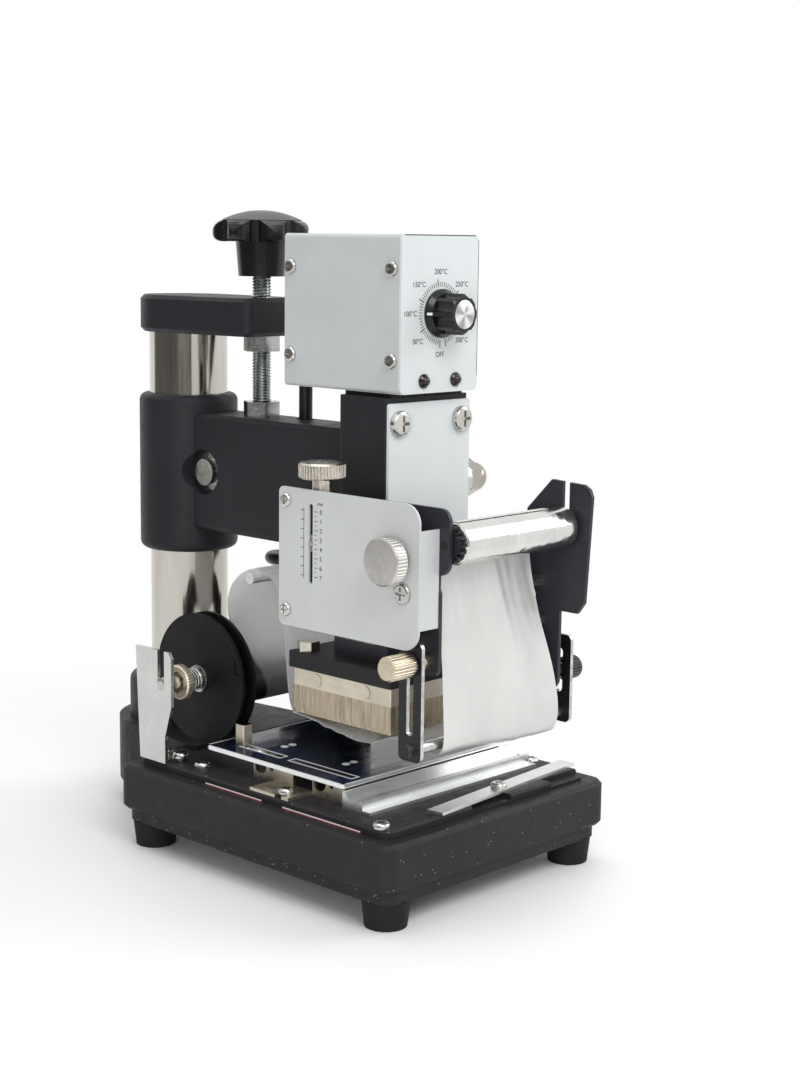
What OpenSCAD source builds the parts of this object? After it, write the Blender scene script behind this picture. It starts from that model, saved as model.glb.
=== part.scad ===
// Bench hot foil stamping press: a heated type block on a lever-driven ram, carried by an arm on a
// round column, with a foil supply reel at the back and a take-up roll in front.
// Lengths are in millimetres. X points to the operator's right, Y to the back, Z up.
// A "reach" is a distance in front of the column axis.

/* [Base] */
// Width of the base tray
base_w = 160; // [150:1:180]
// Length of the base tray
tray_l = 194; // [190:1:215]
// Reach of the tray's front edge
tray_reach = 231; // [228:1:244]
// Height of the main body of the base
body_h = 23; // [18:1:30]
// Height of the plinth under the body
plinth_h = 6; // [4:1:10]
// Set-back of the plinth
plinth_inset = 3; // [1:0.5:6]
// Step from the rim up to the deck
deck_step = 4; // [2:0.5:6]
// Set-back of the deck from the rim
deck_inset = 8; // [5:0.5:11]
// Height of the rubber feet
foot_h = 13; // [8:1:20]
// Top radius of the rubber feet
foot_r = 11.5; // [8:0.5:14]
// Radius of the lug behind the tray that carries the column
lug_r = 39; // [36:0.5:44]
// Radius of the column boss
boss_r = 33; // [28:0.5:35]
// Height of the column boss above the deck
boss_h = 26; // [15:1:40]

/* [Column and arms] */
// Diameter of the column
column_d = 42; // [38:0.5:45]
// Wall of the column tube
column_wall = 4; // [2:0.5:8]
// Height of the underside of the lower arm
arm_z = 155.5; // [154:0.5:158]
// Height of the lower arm
arm_h = 62; // [60:0.5:64]
// Width of the lower arm
arm_w = 30; // [26:1:36]
// Radius of the sleeve
sleeve_r = 26.5; // [25:0.5:30]
// Sleeve end below the arm
sleeve_below = 13.5; // [8:0.5:16]
// Sleeve end above the arm
sleeve_above = 9; // [4:0.5:12]
// Clear height between sleeve and top arm
top_gap = 33; // [30:1:45]
// Thickness of the top arm
top_arm_t = 19.5; // [15:0.5:25]
// Width of the front end of the top arm
top_arm_w = 42; // [34:1:46]
// Diameter of the height screw
screw_d = 10; // [8:0.5:12]
// Reach of the height screw
screw_reach = 59; // [56:1:62]
// Diameter over the lobes of the star knob
star_d = 50.5; // [44:0.5:60]

/* [Head] */
// Width of the head housing
head_w = 57; // [56:0.5:58]
// Depth of the head housing
head_d = 32; // [31.5:0.5:36]
// Reach of the back of the head housing
head_reach = 145.5; // [144.5:0.5:146]
// Travel of the ram
ram_travel = 15; // [8:0.5:17]
// Lever angle behind the vertical at rest
lever_back = 50; // [40:1:60]
// Length of the lever from its shaft
lever_l = 132; // [110:1:150]
// Gap from worktable to type
type_gap = 21.5; // [21:0.5:22.5]
// Width of the heater and type block
type_w = 75; // [60:1:76]
// Length of the heater and type block
type_l = 67; // [60:1:70]

/* [Control box] */
// Width of the box
box_w = 53.5; // [50:0.5:56]
// Depth of the box
box_d = 79; // [76:1:90]
// Height of the box
box_h = 74; // [70:1:90]
// Thickness of the sheet
sheet_t = 1.2; // [0.8:0.1:1.6]

/* [Foil feed] */
// Width of the foil
foil_w = 75; // [60:1:78]
// Inner distance between the side plates
plate_gap = 84; // [83:1:88]
// Radius of the take-up roll
takeup_r = 9.85; // [7:0.05:10]
// Radius of the supply roll
supply_r = 17; // [16:0.5:26]
// Radius of the reel discs
disc_r = 33.5; // [30:0.5:34]
// Height of the supply spindle above the deck
spindle_h = 40; // [39:0.5:44]

/* [Worktable] */
// Width of the table plate
table_w = 117; // [108:1:118]
// Length of the table plate
table_l = 98.5; // [90:0.5:98.5]
// Thickness of the table plate
table_t = 2; // [1.5:0.5:3]
// Height of the table feet
table_foot_h = 8.5; // [7:0.5:10]

/* [Hidden] */
$fn = 48;

// Clearances: fixed seats, running fits and free gaps
seat = 0.02;
run = 0.05;
free = 0.3;

// Overall frame: the side plates reach furthest to the front, the lug furthest to the back
plate_reach = 245;
column_y = (plate_reach - lug_r) / 2;
function ry(reach) = column_y - reach;

// Base levels
corner_r = 8;
edge_c = 2;
body_z = foot_h + plinth_h;
rim_z = body_z + body_h;
deck_z = rim_z + deck_step;
tray_y = ry(tray_reach - tray_l / 2);
boss_top = deck_z + boss_h;
lug_h = deck_z + 2 - foot_h;
column_r = column_d / 2;
socket_z = body_z;
foot_inset = 14;

// Arm levels
arm_top = arm_z + arm_h;
sleeve_z = arm_z - sleeve_below;
sleeve_top = arm_top + sleeve_above;
top_arm_z = sleeve_top + top_gap;
top_arm_top = top_arm_z + top_arm_t;
top_arm_reach = screw_reach + 12;
column_top = top_arm_top - 7;
screw_r = screw_d / 2;
nut_af = 1.7 * screw_d;
nut_h = 0.8 * screw_d;
screw_depth = 22;
star_hub_z = top_arm_top + 11;
star_hub_h = 17.5;
star_t = 11;
star_lobes = 7;
cap_h = 5;
clamp_reach = column_r + 8.5;
clamp_z = arm_z + arm_h / 2;
clamp_face = 11;
recess_r = 12;
plug_r = 10;
clamp_head_r = 7;
clamp_screw_r = 4;
cable_r = 3.5;
cable_hole_r = 5;
cable_x = 8;
cable_reach = 84;
gland_r = 5.5;
gland_l = 4;

// Head levels
head_z = arm_z - 5.5;
head_top = arm_top + 18.5;
head_front = head_reach + head_d;
front_t = 1.5;
front_screw_x = 21.5;
front_shank_r = 3;
front_screw_l = 5;
gear_m = 1;
pinion_teeth = 18;
pinion_r = gear_m * pinion_teeth / 2;
shaft_r = 6;
pinion_reach = head_reach + 8.5;
pinion_z = arm_z + 34.5;
pinion_w = 16;
rack_reach = pinion_reach + pinion_r;
ram_w = 22;
ram_back = rack_reach - gear_m;
ram_front = head_front - 0.7;
ram_top = pinion_z + 32;
rod_x = 19.5;
rod_reach = head_front - 9.5;
rod_r = 4;
pocket_w = 14;
pocket_z = pinion_z - 14;
pocket_top = pinion_z + 22;
collar_h = 4;
collar_r = 6.5;
collar_z = pinion_z + 14;
hub_x = head_w / 2 + 0.5;
hub_w = 20;
hub_r = 9.5;
lever_x = hub_x + 12;
lever_r = 5;
grip_l = 62;
grip_r = 11.5;
thread_r = 5;

// Ram stack, from the worktable up
table_z = deck_z + table_foot_h;
table_top = table_z + table_t;
type_z = table_top + type_gap;
type_plate_t = 2;
holder_t = 12;
heater_t = 8.5;
insulator_t = 8;
foot_plate_t = 8;
holder_z = type_z + type_plate_t;
heater_z = holder_z + holder_t;
insulator_z = heater_z + heater_t;
foot_plate_z = insulator_z + insulator_t;
ram_z = foot_plate_z + foot_plate_t;
type_reach = 157.5;
heater_r = 3.2;
terminal_w = 8;
terminal_l = 42;
bolt_r = 3;
bolt_af = 10;
bolt_head_h = 5;
bolt_x = type_w / 2 - 6;
bolt_dy = type_l / 2 - 4.5;
foot_plate_w = 2 * (bolt_x - bolt_af / sqrt(3) - free);
foot_plate_l = head_d + 6;
foot_plate_reach = ram_front - foot_plate_l / 2;

// Control box
box_z = head_top + 2;
box_top = box_z + box_h;
box_front = head_front + 7;
box_back = box_front - box_d;
panel_r = 3;
dial_z = box_z + box_h / 2 + 0.3;
flange_w = 8;
knob_skirt_r = 11.5;
knob_r = 9.6;
knob_l = 15.5;
knob_flutes = 8;
dial_shaft_r = 3;
thermostat_w = 32;
thermostat_l = 17;
lamp_x = 11;
lamp_z = box_z + 5.8;

// Foil feed
plate_x = plate_gap / 2;
plate_t = 2;
plate_out = plate_x + plate_t;
feed_x = plate_out + 12;
takeup_reach = plate_reach - 15.6;
takeup_z = arm_z + 19.1;
feed_teeth = 16;
gear_dir = -23.75;
gear_w = 3.2;
gear_x = plate_x - free;
feed_gear_gap = gear_m * feed_teeth;
knob_reach = takeup_reach - feed_gear_gap * cos(gear_dir);
knob_z = takeup_z + feed_gear_gap * sin(gear_dir);
takeup_core_r = 4;
journal_r = 2.05;
takeup_knob_r = 11.2;
takeup_knob_l = 7;
knurl_c = 0.9;
slot_reach = 156.7;
slot_w = 2.8;
slot_low = arm_z - 6.5;
slot_high = arm_z + 31.5;
feed_rear = slot_reach - 21.8;
feed_front = plate_reach - 18.5;
feed_z = arm_z - 28.7;
feed_top = arm_z + 38;
thumb_x = (plate_out + feed_x) / 2;
thumb_r = 11.2;
thumb_h = 7.5;
thumb_neck_h = 6.5;
thumb_neck_r = 4.6;
thread6_r = 3;
tab_w = 16;
tab_top = arm_z + 36.5;
tab_low = arm_z - 12.5;
slider_z = (slot_low + slot_high) / 2;
slider_w = 11;
slider_h = 8;
post_r = 3.5;
post_reach = slot_reach - 16.4;
front_post_reach = feed_front - 9.6;
post_places = [[post_reach, arm_z + 31.7], [post_reach, arm_z - 21], [front_post_reach, arm_z - 2.8]];
head_post_places = [[head_reach + 7.5, arm_z + 22], [head_reach + 24.5, arm_z + 4]];
tie_r = 3;
tie_places = [[plate_reach - 30.5, arm_z - 9.5], [plate_reach - 29.5, arm_z - 29]];
// The right plate's outline: rear edge, sloping top corner, slotted top and cut-off front corner
ear_rear = plate_reach - 39.5;
ear_top = arm_z + 41;
ear_low = arm_z - 22.5;
// Slotted foil guides, held off the side plates by shouldered studs
guide_reach = plate_reach - 25.5;
guide_z = type_z + 2;
guide_r = 3;
guide_w = 14;
guide_x = plate_out + 8.5;
guide_low = guide_z - 5;
// Top, slot ends and stud height of the left and the right guide
guide_tops = [guide_z + 50.5, guide_z + 39];
guide_slots = [[guide_z + 7, guide_z + 46.5], [guide_z + 10, guide_z + 32]];
stud_heights = [guide_z + 40.2, guide_z + 21];
stud_r = 2;
stud_shoulder_r = 4;
guide_nut_r = 5.8;
guide_nut_l = [16, 10];
lug_w = 15;
lug_margin = 6.5;
rear_guide_reach = 94;
rear_bracket_w = 8;
rear_guide_z = arm_z - 14.5;
web_t = 0.3;

// Supply reel
spindle_z = deck_z + spindle_h;
spindle_reach = 64;
spindle_r = 4;
spindle_end_r = 2.5;
bracket_x = base_w / 2 - 7.5;
bracket_t = 1.8;
bracket_h = spindle_h + 18;
bracket_front = spindle_reach + 8;
bracket_w = 28;
core_r = 12.9;
disc_t = 2;
disc_x = foil_w / 2 + 0.7;
outer_disc_x = disc_x + 7.3;
hub_disc_r = 9;
washer_t = 1;
spring_r = 5.3;
wire_r = 0.6;
spring_turns = 4;
spring_l = 8;
spring_x = outer_disc_x + disc_t + 0.1 + washer_t;
nut_x = spring_x + spring_l;
brake_nut_r = 9;
brake_nut_l = 5.5;

// Worktable and deck fittings
table_reach = 181;
table_sheet = 1.5;
table_slot_x = table_w / 2 - 12.5;
table_slot_w = 4;
table_slots = [[97, 126], [133, 176]];
foot_wall_x = table_w / 2 - 3;
foot_rear = 115;
foot_gap = [143.5, 157];
foot_front = table_reach - 2;
foot_flange = 14;
notch_r = 4.2;
foot_screw_x = table_w / 2 + 7.5;
foot_screw_reach = 150;
tab_rear = 130;
stop_x = table_w / 2 - 13.5;
stop_reach = 95.8;
stop_h = 11;
side_screw_x = base_w / 2 - 17.5;
rail_l = 120;
rail_reach = 182;
rail_w = 18;
rail_h = 8;
gauge_x = 15;
gauge_reach = 214;
gauge_angle = 5.4;
gauge_t = 1.4;
gauge_w = 9;
gauge_left = 51;
gauge_right = 60;
pan_shank_r = 2;
pan_head_r = 4;
pan_head_h = 2.6;

// Route of the heater lead: x, reach and z of each point. It leaves the box through a gland, drops through
// the arm, loops behind the reel side of the arm and falls in an S to the terminal cap
cable_start = box_back - gland_l - 0.1;
cable_exit_z = box_z + 26;
cable_side_x = 52;
loop_end = [cable_side_x, 73, arm_z - 27.5];
cable_end = [type_w / 2 + 3 + terminal_w / 2, type_reach - terminal_l / 2 - 0.2, heater_z + heater_t / 2];
cable_fall = [for (i = [1:6]) let (f = i / 6, s = f * f * (3 - 2 * f), to = cable_end - [0, 6, 0])
    [loop_end[0] + (to[0] - loop_end[0]) * f * f, loop_end[1] + (to[1] - loop_end[1]) * f,
        loop_end[2] + (to[2] - loop_end[2]) * s]];
cable_route = concat([
    [cable_x, cable_start, cable_exit_z], [cable_x, cable_start - 4, cable_exit_z],
    [cable_x, cable_start - 9.5, cable_exit_z - 1.5], [cable_x, cable_start - 14.5, cable_exit_z - 7],
    [cable_x, cable_reach, cable_exit_z - 15], [cable_x, cable_reach, box_z + 2],
    [cable_x, cable_reach, arm_top], [cable_x, cable_reach, arm_z + 40], [cable_x, cable_reach, arm_z + 20],
    [cable_x, cable_reach, arm_z + 2], [cable_x, 82, arm_z - 5.5], [8.5, 76, arm_z - 11.5],
    [9.5, 67, arm_z - 14], [12, 57, arm_z - 15], [17, 48, arm_z - 16], [25, 42, arm_z - 17],
    [34, 41, arm_z - 18], [43, 44, arm_z - 19.5], [49, 51, arm_z - 21.5], [51.5, 61, arm_z - 24], loop_end],
    cable_fall, [cable_end]);

// Plane helpers

// Rounded rectangle centred on the origin
module rounded_rect(w, l, r) {
    square([w - 2 * r, l], center = true);
    square([w, l - 2 * r], center = true);
    for (sx = [-1, 1], sy = [-1, 1]) translate([sx * (w / 2 - r), sy * (l / 2 - r)]) circle(r);
}

// Box with round upright corners and softened top and bottom edges
module soft_box(w, l, h, r, c) {
    hull() for (sx = [-1, 1], sy = [-1, 1]) translate([sx * (w / 2 - r), sy * (l / 2 - r), 0]) {
        translate([0, 0, c]) cylinder(r = r, h = h - 2 * c, $fn = 32);
        cylinder(r = r - c, h = h, $fn = 32);
    }
}

// Extrudes a profile drawn in the Y-Z plane from x0 to x1
module yz(x0, x1) {
    translate([x0, 0, 0]) rotate([90, 0, 90]) linear_extrude(x1 - x0) children();
}

// Rod along X through a given reach and height
module x_rod(reach, z, r, x0, x1) {
    translate([x0, ry(reach), z]) rotate([0, 90, 0]) cylinder(r = r, h = x1 - x0);
}

// Places a profile of the Y-Z plane at a given reach and height
module yz_at(reach, z) {
    translate([ry(reach), z]) children();
}

// Rectangle of the Y-Z plane between two reaches and two heights
module yz_rect(reach_a, reach_b, z_a, z_b, r) {
    yz_at((reach_a + reach_b) / 2, (z_a + z_b) / 2) rounded_rect(abs(reach_b - reach_a), z_b - z_a, r);
}

function arc(cx, cy, r, a0, a1, n) = [for (i = [0:n]) let (a = a0 + (a1 - a0) * i / n)
    [cx + r * cos(a), cy + r * sin(a)]];

// Domed pan head with a cross recess, head base at z = 0, shank downwards
module pan_screw(head_r, head_h, shank_r, shank_l) {
    difference() {
        union() {
            rotate_extrude() polygon(concat([[0, 0], [head_r, 0]],
                arc(head_r - 0.6 * head_h, 0.4 * head_h, 0.6 * head_h, 0, 90, 4), [[0, head_h]]));
            translate([0, 0, -shank_l]) cylinder(r = shank_r, h = shank_l + 0.2);
        }
        for (a = [0, 90]) rotate(a) translate([-0.6 * head_r, -0.12 * head_r, 0.45 * head_h])
            cube([1.2 * head_r, 0.24 * head_r, head_h]);
    }
}

// Hexagon prism across flats af, axis Z
module hex(af, h) {
    cylinder(d = af / cos(30), h = h, $fn = 6);
}

// Knurled head about Z with both rims chamfered
module knurled(r, h, c, teeth) intersection() {
    linear_extrude(h) difference() {
        circle(r = r);
        for (i = [0:teeth - 1]) rotate(360 * i / teeth) translate([r + 0.2, 0]) circle(r = 0.6, $fn = 13);
    }
    rotate_extrude() polygon([[0, 0], [r - c, 0], [r, c], [r, h - c], [r - c, h], [0, h]]);
}

// Outline of an involute gear with a tooth centred on angle 0
function inv(a) = tan(a) * 180 / PI - a;
function gear_outline(n, backlash) = let (r = gear_m * n / 2, rb = r * cos(20), ra = r + gear_m,
    rf = r - 1.25 * gear_m, half = 90 / n - backlash / (2 * r) * 180 / PI + inv(20), steps = 4)
    [for (t = [0:n - 1]) let (c = 360 * t / n) each concat(
        [rf * [cos(c - half), sin(c - half)]],
        [for (i = [0:steps]) let (q = rb + (ra - rb) * i / steps, a = c - half + inv(acos(rb / q)))
            q * [cos(a), sin(a)]],
        [for (i = [steps:-1:0]) let (q = rb + (ra - rb) * i / steps, a = c + half - inv(acos(rb / q)))
            q * [cos(a), sin(a)]],
        [rf * [cos(c + half), sin(c + half)]])];

// Tube swept along points, with frames carried from ring to ring
function unit(v) = v / norm(v);
function tangent(p, i) = unit(p[min(i + 1, len(p) - 1)] - p[max(i - 1, 0)]);
function across(u, t) = unit(u - (u * t) * t);
function side_vectors(p, u0) = [for (i = 0, u = across(u0, tangent(p, 0)); i < len(p);
    i = i + 1, u = i < len(p) ? across(u, tangent(p, i)) : u) u];
module tube(p, r, sides, u0) {
    u = side_vectors(p, u0);
    rings = len(p);
    points = [for (i = [0:rings - 1]) let (t = tangent(p, i), v = cross(t, u[i]))
        for (k = [0:sides - 1]) p[i] + r * (cos(360 * k / sides) * u[i] + sin(360 * k / sides) * v)];
    walls = [for (i = [0:rings - 2], k = [0:sides - 1]) let (a = i * sides + k,
        b = i * sides + (k + 1) % sides) each [[a, b, a + sides], [b, b + sides, a + sides]]];
    caps = [for (k = [1:sides - 2]) each [[0, k + 1, k],
        [(rings - 1) * sides, (rings - 1) * sides + k, (rings - 1) * sides + k + 1]]];
    polyhedron(points = points, faces = [for (f = concat(walls, caps)) [f[0], f[2], f[1]]]);
}

// Helix about Z, closed by nearly flat end turns; 8 rings a turn
function coil(r, turns, l, wire) = [for (i = [0:8 * turns]) let (s = i / (8 * turns))
    [r * cos(360 * turns * s), r * sin(360 * turns * s), wire + (l - 2 * wire) * s]];
function least_gap(p, wire) = min([for (i = [0:len(p) - 7], j = [i + 6:len(p) - 1])
    norm(p[i] - p[j])]) - 2 * wire;

// Base

module base_casting() color("#26262a") difference() {
    union() {
        translate([0, tray_y, foot_h]) linear_extrude(plinth_h + edge_c)
            rounded_rect(base_w - 2 * plinth_inset, tray_l - 2 * plinth_inset, corner_r);
        translate([0, tray_y, body_z]) soft_box(base_w, tray_l, body_h, corner_r, edge_c);
        translate([0, tray_y, rim_z - edge_c]) soft_box(base_w - 2 * deck_inset, tray_l - 2 * deck_inset,
            deck_step + edge_c, corner_r - 2, edge_c / 2);
        hull() {
            translate([0, column_y, foot_h]) cylinder(r = lug_r, h = lug_h);
            translate([-lug_r - 6, tray_y + tray_l / 2 - 20, foot_h]) cube([2 * lug_r + 12, 8, lug_h]);
        }
        translate([0, column_y, 0]) rotate_extrude() polygon(concat([[0, foot_h], [boss_r, foot_h]],
            arc(boss_r - 4, boss_top - 4, 4, 0, 90, 4), [[0, boss_top]]));
    }
    translate([0, column_y, socket_z]) cylinder(r = column_r + seat, h = boss_top);
    for (p = deck_screw_places()) translate([p[0], ry(p[1]), deck_z - 8])
        cylinder(r = pan_shank_r + seat, h = 20);
    for (x = [0, 58]) translate([x, ry(gauge_reach + 6), deck_z]) cube([28, 7, 5], center = true);
}

// Centres of the pan screws on the deck: x and reach
function deck_screw_places() = concat(
    [for (s = [-1, 1]) [s * foot_screw_x, foot_screw_reach]],
    [for (s = [-1, 1], d = [5, 17]) [s * (bracket_x - 10), bracket_front - d]],
    [[-rail_l / 2 - 8, rail_reach + rail_w + 15.5], [rail_l / 2 + 4.4, rail_reach + rail_w / 2 + 2]],
    [for (s = [-1, 1]) [s * side_screw_x, 84]],
    [[gauge_x, gauge_reach]]);
// Height at which each head seats: on a table foot, a bracket flange, the deck or the gauge strip
function deck_screw_seats() = concat([for (i = [1:2]) table_sheet + run], [for (i = [1:4]) bracket_t],
    [0, 0, 0, 0], [gauge_t + 2 * run]);

module deck_screws() color("#c9c9cc") for (i = [0:len(deck_screw_places()) - 1]) {
    p = deck_screw_places()[i];
    translate([p[0], ry(p[1]), deck_z + deck_screw_seats()[i]])
        pan_screw(pan_head_r, pan_head_h, pan_shank_r, 7);
}

module rubber_feet() color("#1a1a1b")
    for (sx = [-1, 1], sy = [-1, 1]) translate([sx * (base_w / 2 - foot_inset),
        tray_y + sy * (tray_l / 2 - foot_inset), 0]) difference() {
            cylinder(r1 = foot_r - 1.5, r2 = foot_r, h = foot_h);
            translate([0, 0, -1]) cylinder(r = 3.2, h = 5);
        }

// Column and top arm

module column() color("#d5d3cd") translate([0, column_y, socket_z]) difference() {
    cylinder(r = column_r, h = column_top - socket_z);
    translate([0, 0, -1]) cylinder(r = column_r - column_wall, h = column_top - socket_z + 2);
}

module top_arm() color("#242428") difference() {
    hull() {
        translate([0, column_y, top_arm_z]) soft_disc(column_r + 4.5, top_arm_t, edge_c);
        for (s = [-1, 1]) translate([s * (top_arm_w / 2 - 5), ry(top_arm_reach - 5), top_arm_z])
            soft_disc(5, top_arm_t, edge_c);
    }
    translate([0, column_y, top_arm_z - 1])
        cylinder(r = column_r + seat, h = column_top - top_arm_z + 1 + seat);
    translate([0, ry(screw_reach), top_arm_z - 1]) cylinder(r = screw_r + run, h = top_arm_t + 2);
}

module soft_disc(r, h, c) {
    translate([0, 0, c]) cylinder(r = r, h = h - 2 * c, $fn = 48);
    cylinder(r = r - c, h = h, $fn = 48);
}

module screw_nut(z) translate([0, ry(screw_reach), z]) difference() {
    intersection() {
        hex(nut_af, nut_h);
        translate([0, 0, nut_h / 2]) sphere(r = 0.62 * nut_af, $fn = 48);
    }
    translate([0, 0, -1]) cylinder(r = screw_r + run, h = nut_h + 2);
}

module lock_nut() color("#b9bcb8") screw_nut(top_arm_z - nut_h);
module arm_nut() color("#b9bcb8") screw_nut(arm_top);

module height_screw() color("#9fb0ae") translate([0, ry(screw_reach), arm_top - screw_depth])
    cylinder(r = screw_r, h = star_hub_z + star_hub_h - arm_top + screw_depth - 4);

// Lobed grip with rounded rim on a tapered hub
module star_knob() color("#1c1c1e") translate([0, ry(screw_reach), star_hub_z]) difference() {
    union() {
        cylinder(r1 = 12, r2 = 13.5, h = star_hub_h + 1);
        translate([0, 0, star_hub_h]) intersection() {
            linear_extrude(star_t) {
                circle(r = star_d / 2 - 5);
                for (i = [0:star_lobes - 1]) rotate(360 * i / star_lobes + 90)
                    translate([star_d / 2 - 7.2, 0]) circle(r = 7.2);
            }
            rotate_extrude() polygon(concat([[0, 0]], arc(star_d / 2 - 4, 4, 4, -90, 0, 4),
                arc(star_d / 2 - 6, star_t - 6, 6, 0, 90, 5), [[0, star_t]]));
        }
    }
    translate([0, 0, -1]) cylinder(r = screw_r + seat, h = star_hub_h - 3 + seat);
}

module star_knob_cap() color("#6d6e72")
    translate([0, ry(screw_reach), star_hub_z + star_hub_h + star_t]) {
        cap_r = star_d / 2 - 4.5;
        dome_r = (cap_r * cap_r + cap_h * cap_h) / (2 * cap_h);
        intersection() {
            translate([0, 0, cap_h - dome_r]) sphere(r = dome_r, $fn = 96);
            cylinder(r = cap_r + 1, h = cap_h + 1);
        }
    }

// Lower arm with its sleeve

module arm_casting() color("#2a2a2e") difference() {
    union() {
        translate([0, column_y, 0]) rotate_extrude() polygon(concat([[0, sleeve_z]],
            arc(sleeve_r - 4, sleeve_z + 4, 4, -90, 0, 4), arc(sleeve_r - 4, sleeve_top - 4, 4, 0, 90, 4),
            [[0, sleeve_top]]));
        translate([0, column_y, arm_z + arm_h / 2]) rotate([90, 0, 0])
            linear_extrude(head_reach) rounded_rect(arm_w, arm_h, 3);
    }
    translate([0, column_y, sleeve_z - 1]) cylinder(r = column_r + run, h = sleeve_top - sleeve_z + 2);
    x_rod(clamp_reach, clamp_z, recess_r, -sleeve_r - 5, -clamp_face);
    x_rod(clamp_reach, clamp_z, plug_r + seat, -clamp_face - 1, clamp_face);
    translate([0, ry(screw_reach), arm_top - screw_depth - 1])
        cylinder(r = screw_r + run, h = screw_depth + 2);
    translate([cable_x, ry(cable_reach), arm_z - 1]) cylinder(r = cable_hole_r, h = arm_h + 2);
    x_rod(pinion_reach, pinion_z, pinion_r + gear_m + 0.6, -pinion_w / 2 - 0.5, pinion_w / 2 + 0.5);
}

// Notched plug that grips the column, and the socket screw that draws it in
module sleeve_clamp() color("#a7a49c") {
    difference() {
        x_rod(clamp_reach, clamp_z, plug_r, -clamp_face + 1, clamp_face);
        translate([0, column_y, clamp_z - 30]) cylinder(r = column_r + run, h = 60);
        x_rod(clamp_reach, clamp_z, clamp_screw_r + seat, -clamp_face, clamp_face + 1);
    }
    difference() {
        union() {
            x_rod(clamp_reach, clamp_z, clamp_head_r, -clamp_face - 3.5, -clamp_face + 1);
            x_rod(clamp_reach, clamp_z, clamp_screw_r, -clamp_face, clamp_face);
        }
        translate([-clamp_face - 4, ry(clamp_reach), clamp_z]) rotate([0, 90, 0]) hex(6, 3.2);
    }
}

// Head

module head_housing() color("#232327") difference() {
    translate([0, ry(head_reach + head_d / 2), head_z]) linear_extrude(head_top - head_z)
        rounded_rect(head_w, head_d, 2);
    channel_top = ram_top + 4;
    translate([-ram_w / 2 - run, ry(head_front + 1), head_z - 1])
        cube([ram_w + 2 * run, head_front + 1 - ram_back + run, channel_top - head_z + 1]);
    x_rod(pinion_reach, pinion_z, pinion_r + gear_m + 0.6, -pinion_w / 2 - 0.5, pinion_w / 2 + 0.5);
    x_rod(pinion_reach, pinion_z, shaft_r + run, -head_w / 2 + 4, head_w);
    for (s = [-1, 1]) {
        translate([s * rod_x - pocket_w / 2, ry(head_front + 1), pocket_z])
            cube([pocket_w, head_front + 1 - rod_reach + collar_r + 0.5, pocket_top - pocket_z]);
        translate([s * rod_x, ry(rod_reach), head_z - 1]) cylinder(r = rod_r + run, h = pocket_z - head_z + 2);
        for (z = front_screw_heights()) translate([s * front_screw_x, ry(head_front), z])
            rotate([90, 0, 0]) translate([0, 0, -front_screw_l]) cylinder(r = front_shank_r + seat, h = 10);
    }
}
function front_screw_heights() = [head_top - 12, head_z + 10];

module front_plate() color("#d4d6d6") difference() {
    translate([0, ry(head_front), (head_z + head_top) / 2 - 1]) rotate([90, 0, 0])
        linear_extrude(front_t) rounded_rect(head_w - 0.6, head_top - head_z - 3, 1.5);
    for (s = [-1, 1], z = front_screw_heights()) translate([s * front_screw_x, ry(head_front - 1), z])
        rotate([90, 0, 0]) cylinder(r = front_shank_r + seat, h = 4);
}

// Pan screws of the front plate, the box sides and the feed plate
module panel_screws() color("#c4c2bd") {
    for (s = [-1, 1], z = front_screw_heights()) translate([s * front_screw_x, ry(head_front + front_t), z])
        rotate([90, 0, 0]) pan_screw(6.3, 3.2, front_shank_r, front_t + front_screw_l - 1);
    for (s = [-1, 1], p = box_screw_places()) translate([s * box_w / 2, ry(p[0]), p[1]])
        rotate([0, s * 90, 0]) pan_screw(3.6, 2, 1.5, 2 * sheet_t + 2);
    for (p = post_places) translate([-feed_x - sheet_t, ry(p[0]), p[1]])
        rotate([0, -90, 0]) pan_screw(p[0] == front_post_reach ? 5 : 3.4, 2, 1.5, sheet_t + 5);
}
function box_screw_places() = [for (r = [box_back + 4.7, box_front - 5.8], z = [box_z + 15.4, box_top - 16])
    [r, z]];

// Compression springs under the rod collars
module return_springs() color("#8f9294") for (s = [-1, 1]) translate([s * rod_x, ry(rod_reach), pocket_z])
    tube(return_coil(), wire_r, 6, [1, 0, 0]);
function return_coil() = coil(rod_r + 1.4, 8, collar_z - pocket_z, wire_r);

module lever_shaft() color("#b3b3b0") {
    x_rod(pinion_reach, pinion_z, shaft_r, -head_w / 2 + 4.1, hub_x + hub_w);
    x_rod(pinion_reach, pinion_z, thread_r, hub_x + hub_w - 0.1, hub_x + hub_w + 12);
}

module pinion() color("#9a9a98") yz(-pinion_w / 2, pinion_w / 2) yz_at(pinion_reach, pinion_z) difference() {
    polygon(gear_outline(pinion_teeth, 0.1));
    circle(r = shaft_r + seat);
}

// Frame of the lever: its own Z runs along the lever
module lever_frame() {
    translate([lever_x, ry(pinion_reach), pinion_z]) rotate([-lever_back, 0, 0]) children();
}

module lever_arm() color("#c3c2be") difference() {
    union() {
        x_rod(pinion_reach, pinion_z, hub_r, hub_x, hub_x + hub_w);
        lever_frame() cylinder(r = lever_r, h = lever_l - 4);
    }
    x_rod(pinion_reach, pinion_z, shaft_r + seat, hub_x - 1, hub_x + hub_w + 1);
}

module lever_grip() color("#1d1d1f") lever_frame() translate([0, 0, lever_l - grip_l]) difference() {
    rotate_extrude() polygon(concat([[0, 0], [grip_r - 4, 0]],
        [for (i = [0:8]) [grip_r - 4 + 4 * sin(20 + 140 * i / 8), 1 + (grip_l - grip_r) * i / 8]],
        arc(0, grip_l - grip_r + 1, grip_r - 2.6, 0, 90, 5)));
    translate([0, 0, -1]) cylinder(r = lever_r + seat, h = grip_l - 4 + 1 + seat);
}

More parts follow.
